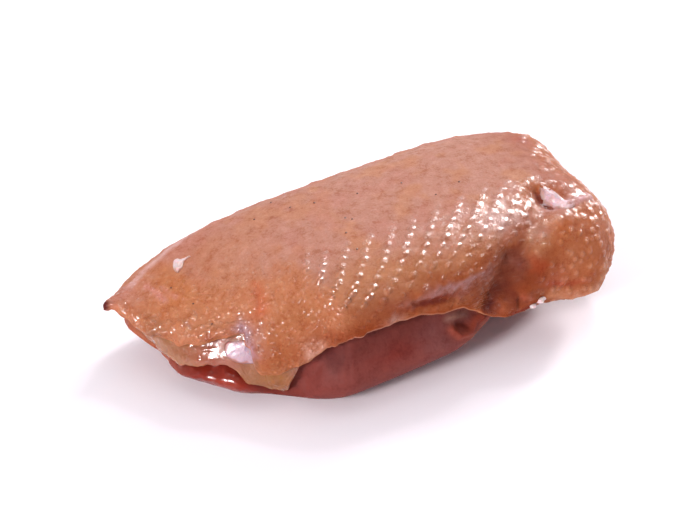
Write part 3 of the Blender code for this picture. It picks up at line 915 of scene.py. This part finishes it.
def skinHeight(plan, surface, outward, bearing, reach):  # over the form, in millimetres
    shares = {"broad": 1.0, "small": 1.0, "behind": eased(outward[:, 1], 0.0, 0.3), "hem": eased(reach, 0.93, 1.0),
              **{key: near(surface, *place) for key, place in plan["unevenAt"].items()}}
    height = sum(uneven(surface, [layer]) * shares[key] for key, layer in plan["uneven"].items())
    height = withSwells(surface, withRidges(surface, height, skinRidges), skinSwells)
    roll, degrees = plan["lipRoll"], np.degrees(bearing) % 360
    opens, full, fades, closes = roll["bearings"]
    height += ((roll["height"] + roll["lumpy"] * uneven(surface, roll["uneven"]))
               * np.sin(np.pi * np.clip((reach - roll["from"]) / (1 - roll["from"]), 0, 1)) ** 0.8
               * eased(degrees, opens, full) * eased(degrees, closes, fades))
    return height


def makeSkin():
    plan = skinPlan
    cells = plan["cells"]
    bearing, reach = polar(cells, plan["crowding"])
    directions = directionAt(bearing, hemReach(bearing, reach))
    surface = outerSurface(directions)
    outward = normalsOf(outerSurface, directions)
    alongMm, acrossMm = sheetPlaces(surface, cells, plan["crowding"])
    tip = plan["point"]
    pull = pulled(surface, tip["root"], tip["radius"])
    raised = skinHeight(plan, surface, outward, bearing, reach) - plan["sink"]
    points = surface + creased(surface, outward) + pull[:, None] * tip["pull"] + raised[:, None] * outward

    # The hem rolls over to the inner side
    border = borderOf(cells)
    rim, rimOut = points[border], outward[border]
    beyond = outerSurface(directionAt(bearing[border], hemReach(bearing[border], reach[border]) + 0.02))
    down = beyond - surface[border]
    down = unitLong(down - (down * rimOut).sum(axis=1)[:, None] * rimOut)
    edge = plan["thickness"] - plan["sink"]
    rings = roundedEdge(rim, rim - edge * rimOut, down, edge / 2, plan["lipRings"])
    innerCells = tuple(count // plan["innerEvery"] for count in cells)
    innerBearing, innerReach = polar(innerCells, plan["crowding"])
    innerDirections = directionAt(innerBearing, hemReach(innerBearing, innerReach))
    innerPull = pulled(outerSurface(innerDirections), tip["root"], tip["radius"])
    inner = (sunkSheet(innerDirections, np.full(len(innerPull), plan["thickness"]), 1.0)
             + innerPull[:, None] * tip["pull"])

    allPoints = np.concatenate([points, *rings, inner])
    faces = shellFaces(cells, len(border), plan["lipRings"], innerCells)

    def spread(values, rest=0.0):  # the sheet's values, carried on to the lip, and rest inside
        lip = np.concatenate([values[border]] * plan["lipRings"])
        return np.concatenate([values, lip, np.full((len(inner), *values.shape[1:]), rest)])

    rows = plan["rows"]
    offset = acrossMm - rows["pivot"]
    level = (alongMm - rows["lean"] * offset) / (1 + rows["fan"] * offset) - rows["first"]
    nx, ny, nz = outward.T
    inRows = eased(-ny, 0.04, 0.22) * (1 - 0.85 * eased(-ny, 0.52, 0.74))
    x, y, z = surface.T
    lobe = eased(x, 38, 41) * eased(-ny, 0.0, 0.25) * eased(-y, 21, 25)
    thickEnd = 0.7 * eased(nx, 0.3, 0.45)
    besideSlit = eased(x, 53, 57) * eased(-y, 1, 7) * eased(z, 36, 38)
    stripe = bell(distanceTo(surface, skinRidges["stripe"][0]), 1.7)
    lipZone = 0.8 * near(surface, (-54.5, -7, 23.5), (6, 7, 4))
    pebbles = np.maximum.reduce([lobe, thickEnd, besideSlit, lipZone]) * (1 - stripe)
    thinEnd = np.maximum(eased(-nx, 0.3, 0.5), 0.6 * eased(-nx, 0.15, 0.3) * eased(-x, 24, 34))
    grains = np.maximum.reduce([thinEnd, 0.55 * eased(x, 2, 26) * eased(-ny, 0.02, 0.25) * (1 - pebbles),
                                0.3 * eased(-ny, 0.3, 0.5)])
    size = 0.1 + 0.9 * np.maximum.reduce([inRows * (1 - 0.7 * eased(-nx, 0.5, 0.62)), 0.7 * eased(nx, 0.12, 0.4),
                                          0.3 * eased(ny, 0.2, 0.5)])
    size = size * withSwells(surface, 1.0, plan["larger"]) + withSwells(surface, 0.0, plan["raised"])
    colour = blended(skinColour(plan, surface, outward), eased(pull / pull.max(), 0.86, 0.96), tip["colour"])
    hemBearing = np.degrees(bearing[border]) % 360
    lipHue = blended(plain(plan["colours"]["lip"], len(border)),
                     eased(hemBearing, 228, 238) * eased(hemBearing, 290, 270), plan["colours"]["lipInFront"])
    lipShare = (0.35 + 0.4 * eased(lumps(rim, 3.0, 71), -0.2, 0.4)) * (1 - eased(pull[border], 0.5, 0.8))
    lipColour = colour[border] + lipShare[:, None] * (lipHue - colour[border])
    attributes = {
        "rowPlace": spread(level / rows["pitch"] - rows["spread"] * level**2),
        "stepPlace": spread(rows["alongStep"] * alongMm + rows["acrossStep"] * acrossMm),
        "follicleSize": spread(size * (1 - eased(reach, 0.95, 1.0)) * (1 - 0.9 * np.maximum(pebbles, thinEnd))),
        "pebbleSize": spread(pebbles * (1 - eased(reach, 0.96, 1.0))),
        "grainSize": spread(grains * (1 - eased(reach, 0.97, 1.0))),
        "restPlace": toMetres(allPoints),
        "outward": spread(outward),
        "wetness": spread(shineOf(plan, surface, outward)),
        "tint": np.concatenate([asColour(colour), *[asColour(lipColour)] * plan["lipRings"],
                                asColour(plain(plan["colours"]["inside"], len(inner)))]),
    }
    piece = makePiece("skinSheet", allPoints, faces, attributes)
    finish = fleshMaterial("smokedSkin", {**plan["material"], "reliefShape": plan["shape"]})
    applyTree(piece, reliefTree(), {**plan["shape"], "Finish": finish})
    keepInBox(piece)
    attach(piece, "root")
    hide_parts("skin")
    return piece


skinSheet = makeSkin()
print("skin made")


# Fat: hidden under the skin but for the wet band at the thin end
fatPlan = {
    "cells": (220, 152), "every": 4, "bandRings": 22, "edgeRings": 3, "sheetTo": 0.95, "bandFrom": 0.955,
    "skinThickness": 1.4, "gap": 0.45, "thickness": 1.8, "rises": 1.0, "showsLittle": 0.1, "edgeBulge": 0.72,
    "hiddenSink": 0.9, "broader": 1.2, "drawnIn": 0.03, "endsAt": (221, 227),
    "cornerDrop": (221, 3.5, 0.04), "cornerFoot": (216.6, 2.6, 0.27),  # bearing, width, reach
    "base": (160, 104, 70), "fibres": (112, 58, 30),
    "material": {"deeper": (0.85, 0.72, 0.6), "paler": (1.12, 1.12, 1.1), "blotchScale": 300.0,
                 "blotchAmount": 0.7, "creaseScale": 600.0, "creaseDepth": 0.12, "creaseStrength": 0.5,
                 "dryRoughness": 0.4, "wetRoughness": 0.2, "coatRoughness": 0.08, "glintBreaks": 0.4,
                 "onRelief": {"darker": 0.0, "smoothest": 0.1, "driest": 1.0}},
    "smooth": ((-50, -14.5, 19), (5, 5, 4)), "dry": ((-38.5, -25, 11), (6, 5, 6)), "bandSink": 0.1,
    "uneven": ((0.25, 3.2, 31), (0.16, 1.4, 32)), "unevenDry": ((0.5, 2.0, 33), (0.3, 0.9, 34)),
    "ridges": {
        "filmEdge": ([(-59.6, -6.2, 17.4), (-56.4, -9.2, 17.4), (-53.6, -12.0, 18.4)], 0.5, 0.45),
        "oliveFold": ([(-43.5, -21.8, 15.5), (-41, -23.6, 11.5), (-39.5, -24.4, 8.5)], 0.7, 0.7),
        "oliveFoldTwo": ([(-39.5, -24.6, 15), (-37.6, -25.8, 11), (-36.5, -26.2, 8)], 0.6, 0.6),
        "edgeLine": ([(-57.2, -10.2, 14.4), (-53, -14.2, 13.8), (-49, -17.8, 13.6), (-46, -20.6, 14.2)], 0.5, 0.4),
    },
    "tints": {
        "tanPatch": ((-62, -3, 17), (7, 9, 6), (152, 104, 66), 0.85),
        "tanLow": ((-65, 2, 18), (4, 6, 3.5), (138, 84, 52), 0.9),
        "redBand": ((-53, -11.5, 19.5), (7, 7, 5), (146, 76, 60), 0.85),
        # gloss: pale where the wet fat shines, a painted highlight
        "gloss": ((-49.5, -16.5, 19.5), (4, 4, 4), (196, 160, 150), 0.6),
        "edgeRed": ((-54, -13, 14.5), (12, 9, 2.5), (140, 62, 44), 0.7),
        "olive": ((-39, -25, 11), (9, 6, 6), (146, 91, 40), 1.0),
        "oliveBrown": ((-41.5, -23.5, 14.5), (3, 4, 2), (128, 72, 36), 0.8),
        "oliveEnd": ((-33.6, -28.4, 11.5), (2.6, 4, 8), (116, 56, 44), 1.0),
        "belly": ((-29, -33, 14), (9, 6, 10), (124, 56, 44), 1.0),
        "bellyFar": ((-18, -36, 18), (10, 6, 10), (124, 56, 44), 1.0),
    },
}


def makeFat():
    plan = fatPlan

    def edgeOf(turned):  # the CAD part's edge, drawn in where the hem covers it
        degrees = np.degrees(turned) % 360
        corner = sum(drop * bell(degrees - middle, width)
                     for middle, width, drop in (plan["cornerDrop"], plan["cornerFoot"]))
        shows = (fatEdge(turned) - 1) * (1 - eased(degrees, *plan["endsAt"]) * eased(degrees, 250, 245))
        return 1 + shows + corner - plan["drawnIn"] * (1 - eased(shows, 0.02, 0.08)) - hemLift(turned)

    def layer(turned, reached, edges, below):
        rise = plan["rises"] * np.minimum(1, (edges - 1) / plan["showsLittle"]) * eased(reached, 1, edges)
        hidden = plan["hiddenSink"] * (1 - eased(reached, 0.85, 0.98)) * (below == 0)
        depth = plan["skinThickness"] + plan["gap"] - rise + below + hidden
        return sunkSheet(directionAt(turned, reached), depth, plan["broader"])

    coarse, bearing, reach, around = sheetAndBorder(plan)
    edge, sheetEdge = edgeOf(around), edgeOf(bearing)
    top = layer(bearing, reach * plan["sheetTo"], sheetEdge, 0.0)
    rings = [layer(around, plan["bandFrom"] + (edge - plan["bandFrom"]) * share, edge, 0.0)
             for share in np.arange(plan["bandRings"] + 1) / plan["bandRings"]]
    down = unitLong(rings[-1] - rings[-2])
    inside = layer(around, edge, edge, plan["thickness"])
    rings += roundedEdge(rings[-1], inside, down, plan["edgeBulge"], plan["edgeRings"])
    bottom = layer(bearing, reach * sheetEdge, sheetEdge, plan["thickness"])
    allPoints = np.concatenate([top, *rings, bottom])
    faces = shellFaces(coarse, len(around), len(rings), coarse)
    rough, dry = 1 - near(allPoints, *plan["smooth"]), near(allPoints, *plan["dry"])
    bumps = uneven(allPoints, plan["uneven"]) * rough + dry * uneven(allPoints, plan["unevenDry"])
    bumps = withRidges(allPoints, bumps, plan["ridges"]) - plan["bandSink"]
    bumps[:len(top)] = bumps[-len(bottom):] = 0  # only the band and the edge are uneven
    allPoints = pushedOut(allPoints, bumps)
    colour = paint(allPoints, plain(plan["base"], len(allPoints)), plan["tints"], seed=41)
    streaks = dry * eased(lumps(allPoints * (1.6, 1.6, 0.7), 1.5, 43), 0.1, 0.5)
    colour = blended(colour, 0.5 * streaks, plan["fibres"])
    attributes = {"tint": asColour(colour), "wetness": 1 - 0.8 * dry, "relief": 0.25 * rough}
    piece = makePiece("fatLayer", allPoints, faces, attributes, fleshMaterial("wetFat", plan["material"]))
    keepInBox(piece)
    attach(piece, "root")
    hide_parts("fat")
    return piece


fatLayer = makeFat()
print("fat made")


# Meat: shows at the belly, the thin end and underneath
meatPlan = {
    "cells": (220, 152), "every": 4, "rings": 52,
    "depth": 4.25, "starts": 0.012, "fineTo": 1.75, "broader": 1.3,
    "base": (122, 56, 48),
    "material": {"deeper": (0.75, 0.6, 0.55), "paler": (1.15, 1.2, 1.15), "blotchScale": 220.0,
                 "blotchAmount": 0.8, "creaseScale": 500.0, "creaseGrain": 0.8, "creaseStrength": 0.4,
                 "dryRoughness": 0.75, "wetRoughness": 0.28, "coat": 0.8, "coatRoughness": 0.12, "ior": 1.25,
                 "subsurface": 0.4, "glintBreaks": 0.7},
    "wetToe": ((-54, -14, 8), (14, 14, 8)), "uneven": ((0.4, 3.6, 52), (0.4, 1.9, 53)),
    "curls": {  # route, the width and height of its ridge, the width, colour and strength of its streak
        "curlBand": ([(23.4, -30.8, 15.9), (20.8, -31.2, 15.6), (18, -33.6, 13.8), (13.3, -35.3, 15.2),
                      (11, -34.6, 18)], (0.9, 1.2), (1.3, (150, 62, 34), 0.8)),
        # curlHole: a dent with a dark streak in it, painted shade of the hole
        "curlHole": ([(14.2, -33.6, 18.4), (17.4, -32.8, 16.6)], (1.2, -1.2), (1.2, (118, 40, 26), 0.9)),
        "membraneEdge": ([(10.6, -34, 21.6), (14, -33, 20.8), (18, -32, 18.6)], (0.7, 0.6),
                         (1.4, (132, 92, 80), 0.8)),
        "curlRim": ([(26, -30.3, 15), (20.5, -33.4, 12.4), (14.5, -36, 11.6)], (0.8, 0.7),
                    (0.9, (158, 98, 80), 0.7)),
    },
    "tints": {
        "redToe": ((-54, -12, 8), (24, 22, 12), (118, 26, 10), 1.0),
        "redToeBright": ((-52, -18, 9), (5, 5, 3), (150, 46, 20), 0.7),
        "darkToe": ((-40, -25, 5), (6, 6, 6), (108, 36, 24), 0.8),
        "redPatch": ((-8, -38, 18), (8, 4, 4), (120, 36, 26), 0.8),
        "membrane": ((7, -38, 20), (6, 4, 8), (118, 68, 66), 0.9),
        # underHemShadow: painted shadow on the meat under the skin's overhanging hem
        "underHemShadow": ((-5, -37, 27), (26, 6, 7.4), (80, 20, 10), 1.0),
        # hemShade: painted shade on the meat under the corner flap's hem
        "hemShade": ((-25, -31.5, 19.5), (5, 5, 5), (90, 24, 17), 1.0),
        "toeLeft": ((-66, 9, 12.5), (8, 11, 9), (162, 92, 60), 1.0),
        # pocketShade: painted shade in the pocket beside the curl
        "pocketShade": ((15, -36, 21), (5, 4, 4), (92, 28, 14), 1.0),
    },
}


def makeMeat():
    plan = meatPlan
    ridges = {key: (route, *ridge) for key, (route, ridge, _) in plan["curls"].items()}
    streaks = {key: (route, *streak) for key, (route, _, streak) in plan["curls"].items()}

    def onGround(points):
        points[:, 2] = np.maximum(points[:, 2], 0)
        return points

    def layer(turned, reached):
        start = fatEdge(turned) + plan["starts"]
        wayOut = np.interp(np.degrees(turned) % 360, *zip(*form["meatComesOut"]))
        depth = plan["depth"] * (1 - eased(reached, start, start + wayOut))
        return onGround(sunkSheet(directionAt(turned, reached), depth, plan["broader"]))

    coarse, bearing, reach, around = sheetAndBorder(plan)
    top = layer(bearing, reach)
    rings = [layer(around, np.full(len(around), 1 + (plan["fineTo"] - 1) * k / plan["rings"]))
             for k in range(1, plan["rings"] + 1)]
    bottom = layer(bearing, 2 - (2 - plan["fineTo"] - 0.01) * reach)
    allPoints = np.concatenate([top, *rings, bottom])
    faces = shellFaces(coarse, len(around), len(rings), coarse)
    relief = uneven(allPoints, plan["uneven"]) * near(allPoints, *plan["wetToe"])
    allPoints = onGround(pushedOut(allPoints, withRidges(allPoints, relief, ridges)))
    colour = paint(allPoints, plain(plan["base"], len(allPoints)), plan["tints"], seed=51)
    colour = streaked(allPoints, colour, streaks)
    wet = 0.12 + 0.88 * near(allPoints, *plan["wetToe"])
    attributes = {"tint": asColour(colour), "wetness": wet}
    piece = makePiece("meatCore", allPoints, faces, attributes, fleshMaterial("smokedMeat", plan["material"]))
    keepInBox(piece)
    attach(piece, "root")
    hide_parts("meat")
    return piece


meatCore = makeMeat()
print("meat made")


# Small pieces laid on the layers
def loopThrough(corners, count):  # a smooth closed loop through the corners
    corners = np.array(corners, float)
    turn = np.arange(count) / count * len(corners)
    i, t = turn.astype(int), (turn % 1)[:, None]
    before, here, after, beyond = (corners[(i + k) % len(corners)] for k in (-1, 0, 1, 2))
    return 0.5 * (2 * here + (after - before) * t + (2 * before - 5 * here + 4 * after - beyond) * t**2
                  + (3 * here - before - 3 * after + beyond) * t**3)


def surfaceOf(piece):
    return BVHTree.FromPolygons(placesOf(piece.data).tolist(), [list(face.vertices) for face in piece.data.polygons])


def laidOn(surface, points):  # the nearest places on a piece, in millimetres, and their mean normal
    found = [surface.find_nearest(Vector(point)) for point in toMetres(points)]
    places = np.array([tuple(hit[0]) for hit in found]) * 1000 + form["middle"]
    normal = np.array([tuple(hit[1]) for hit in found]).mean(axis=0)
    return places, normal / np.linalg.norm(normal)


lensPlan = {"around": 56, "rings": 12, "crowding": 0.8, "keptApart": 0.08}


def patchPiece(name, plan, finish, surface):  # a thin lens with this outline, laid on a piece
    count, rings = lensPlan["around"], lensPlan["rings"]
    outline = loopThrough(plan["outline"], count)
    centre = outline.mean(axis=0)
    shares = np.linspace(0, 1, rings + 1)[1:] ** lensPlan["crowding"]
    flat = np.concatenate([centre[None], *[centre + share * (outline - centre) for share in shares]])
    share = np.concatenate([[0], np.repeat(shares, count)])
    onCarrier, up = laidOn(surface, flat)
    base = onCarrier + lensPlan["keptApart"] * (flat - onCarrier)  # also where an edge is nearest to many points
    if np.dot(np.cross(outline[0] - centre, outline[count // 4] - centre), up) < 0:
        order = np.concatenate([[0], *[1 + k * count + np.arange(count)[::-1] for k in range(rings)]])
        base, flat = base[order], flat[order]
    profile = np.sqrt(np.maximum(1 - share**4, 0))
    ruffled = plan["height"] * (profile + plan["ruffle"] * (1 - share**6) * lumps(flat, plan["ruffleSize"], 91))
    inner = 1 + (rings - 1) * count  # both sides share the points of the outermost ring
    under = base - (plan["buried"] * profile)[:, None] * up
    points = np.concatenate([base + ruffled[:, None] * up, under[:inner]])
    upper = [1 + k * count + np.arange(count) for k in range(rings)]
    lower = [len(base) + ring for ring in upper[:-1]] + [upper[-1]]
    faces = []
    for loops, middle, faceUp in ((upper, 0, True), (lower, len(base), False)):
        made = [[middle, a, b] for a, b in zip(loops[0], np.roll(loops[0], -1))]
        for nearer, further in zip(loops[:-1], loops[1:]):
            made += np.stack([nearer, further, np.roll(further, -1), np.roll(nearer, -1)], axis=1).tolist()
        faces += made if faceUp else [face[::-1] for face in made]
    outer = np.concatenate([share, share[:inner]]) + 0.2 * lumps(points, 1.5, 92)
    colour = blended(plain(plan["base"], len(points)), eased(outer, 0.7, 1.0), plan["rim"])
    attributes = {"tint": asColour(colour), "wetness": np.full(len(points), plan["wet"])}
    piece = makePiece(name, points, faces, attributes, finish)
    keepInBox(piece)
    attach(piece, "root")


patchPlans = {
    "paleFlap": {
        "outline": [(-52.4, 16.8, 30.2), (-51.2, 16.8, 31), (-50.2, 15.6, 31.5), (-47.6, 14.6, 32), (-50.0, 14.2, 31.4),
                    (-51.4, 12.6, 30.8), (-53.2, 11.8, 29.8), (-53.4, 14.2, 29.6)],
        "on": "skin", "height": 0.7, "buried": 0.3, "ruffle": 0.8, "ruffleSize": 1.1,
        "base": (220, 196, 194), "rim": (196, 150, 136), "wet": 0.6},
    "slitFat": {
        "outline": [(52.0, -14.7, 42.2), (53.6, -14.3, 42.3), (55.2, -16.4, 41.7), (56.1, -18.6, 40.9),
                    (57.0, -21.0, 40.2), (58.8, -23.0, 39.8), (58.0, -24.4, 39.6), (54.6, -24.4, 39.8),
                    (52.2, -22.2, 39.8), (51.2, -19.2, 40.2), (50.9, -16.6, 41.2)],
        "on": "skin", "height": 0.16, "buried": 0.4, "ruffle": 1.4, "ruffleSize": 1.4,
        "base": (210, 176, 180), "rim": (186, 138, 128), "wet": 0.15},
    "wetFilm": {
        "outline": [(-50.4, -13.9, 21.2), (-48.4, -15.4, 21.6), (-46.4, -16.9, 22.4), (-44.4, -18.9, 22.2),
                    (-42.5, -21.2, 21.0), (-42.7, -22.6, 18.6), (-43.9, -22.2, 16.2), (-46.2, -20.2, 15.6),
                    (-48.6, -17.9, 15.8), (-50.6, -15.8, 16.8), (-51.3, -14.5, 19.0)],
        "on": "fat", "height": 0.3, "buried": 0.6, "ruffle": 0.9, "ruffleSize": 1.7,
        # a wet membrane; its pale base is partly its own colour and partly a painted highlight
        "base": (190, 160, 172), "rim": (166, 108, 96), "wet": 0.4,
        "finish": {"glintBreaks": 0.25, "coatRoughness": 0.2}},
}
nodulePlans = {  # small balls: centre, radii, colour
    "crumbs": {"balls": [((40.6, -35.6, 18.7), (1.2, 0.9, 1.0), (226, 208, 206)),
                         ((41.6, -35.5, 19.1), (0.7, 0.6, 0.6), (220, 200, 198)),
                         ((38.1, -35.5, 17.5), (1.1, 0.8, 0.8), (216, 196, 196))],
               "onSkin": False, "bumpy": 0.0007, "level": 3, "wet": 0.4},
    "quillStubs": {"balls": [(place, (0.34, 0.26, 0.26), (84, 44, 32)) for place in (
                       (-56.7, 8.9, 27.6), (-53.8, -0.1, 26.8), (-51.9, -8.9, 24.3), (-19, 20.7, 38.7),
                       (-16.8, 12.2, 41.1), (-10.2, 9.6, 42.2), (-9.6, -9.2, 42.6), (-10.1, -16.9, 41.8),
                       (2.3, 6.4, 43.5), (-27.4, 14.3, 38.9), (-6.5, -2.7, 43), (-5.1, -4.4, 43.1),
                       (21.3, -6.5, 44.8), (30.4, -4.3, 45.3), (15.8, 4.2, 44.5))],
                   "onSkin": True, "bumpy": 0.0001, "level": 2, "wet": 0.3},
}
smallFinish = {"deeper": (0.82, 0.66, 0.56), "paler": (1.08, 1.1, 1.1), "blotchScale": 500.0, "creaseScale": 1300.0,
               "creaseStrength": 0.6, "dryRoughness": 0.5, "wetRoughness": 0.3, "coatRoughness": 0.14,
               "bleed": 1.2, "glintEdge": (0.4, 0.9), "glintBreaks": 0.6}


def noduleTree():
    tree, given, result = newGroup(
        "nodules", "GeometryNodeTree",
        {"Places": ("NodeSocketGeometry", None), "Bumpiness": ("NodeSocketFloat", 0.0005),
         "Lumps a metre": ("NodeSocketFloat", 900.0), "Level": ("NodeSocketInt", 3),
         "Finish": ("NodeSocketMaterial", None)},
        {"Lumps": ("NodeSocketGeometry", None)})
    size = node(tree, "GeometryNodeInputNamedAttribute", {"Name": "radii"}, data_type="FLOAT_VECTOR")
    ball = node(tree, "GeometryNodeMeshIcoSphere", {"Radius": 1.0, "Subdivisions": given["Level"]})
    points = node(tree, "GeometryNodeMeshToPoints", {"Mesh": given["Places"]})
    placed = node(tree, "GeometryNodeInstanceOnPoints", {"Points": points.outputs[0], "Instance": ball.outputs[0],
                                                         "Scale": size.outputs["Attribute"]})
    real = node(tree, "GeometryNodeRealizeInstances", {"Geometry": placed.outputs[0]})
    place = node(tree, "GeometryNodeInputPosition").outputs[0]
    bumpy = minus(tree, noise(tree, place, given["Lumps a metre"], 2.0), 0.55)
    offset = scaled(tree, node(tree, "GeometryNodeInputNormal").outputs[0], times(tree, bumpy, given["Bumpiness"]))
    moved = node(tree, "GeometryNodeSetPosition", {"Geometry": real.outputs[0], "Offset": offset})
    smooth = node(tree, "GeometryNodeSetShadeSmooth", {"Geometry": moved.outputs[0]})
    finished = node(tree, "GeometryNodeSetMaterial", {"Geometry": smooth.outputs[0], "Material": given["Finish"]})
    plug(tree, result["Lumps"], finished.outputs[0])
    return tree


def makeSmallPieces():
    surfaces = {"skin": surfaceOf(skinSheet), "fat": surfaceOf(fatLayer)}
    finish = fleshMaterial("smallPieces", smallFinish)
    for name, plan in patchPlans.items():
        made = fleshMaterial(name + "Finish", {**smallFinish, **plan["finish"]}) if "finish" in plan else finish
        patchPiece(name, plan, made, surfaces[plan["on"]])
    nodules = noduleTree()
    for name, plan in nodulePlans.items():
        centres, radii, tints = (np.array(values, float) for values in zip(*plan["balls"]))
        if plan["onSkin"]:
            centres, _ = laidOn(surfaces["skin"], centres)
        attributes = {"radii": radii * 0.001, "wetness": np.full(len(radii), plan["wet"]),
                      "tint": asColour(linear(tints))}
        piece = makePiece(name, centres, [], attributes)
        applyTree(piece, nodules, {"Bumpiness": plan["bumpy"], "Level": plan["level"], "Finish": finish})
        keepInBox(piece)
        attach(piece, "root")


makeSmallPieces()
print("small pieces made")
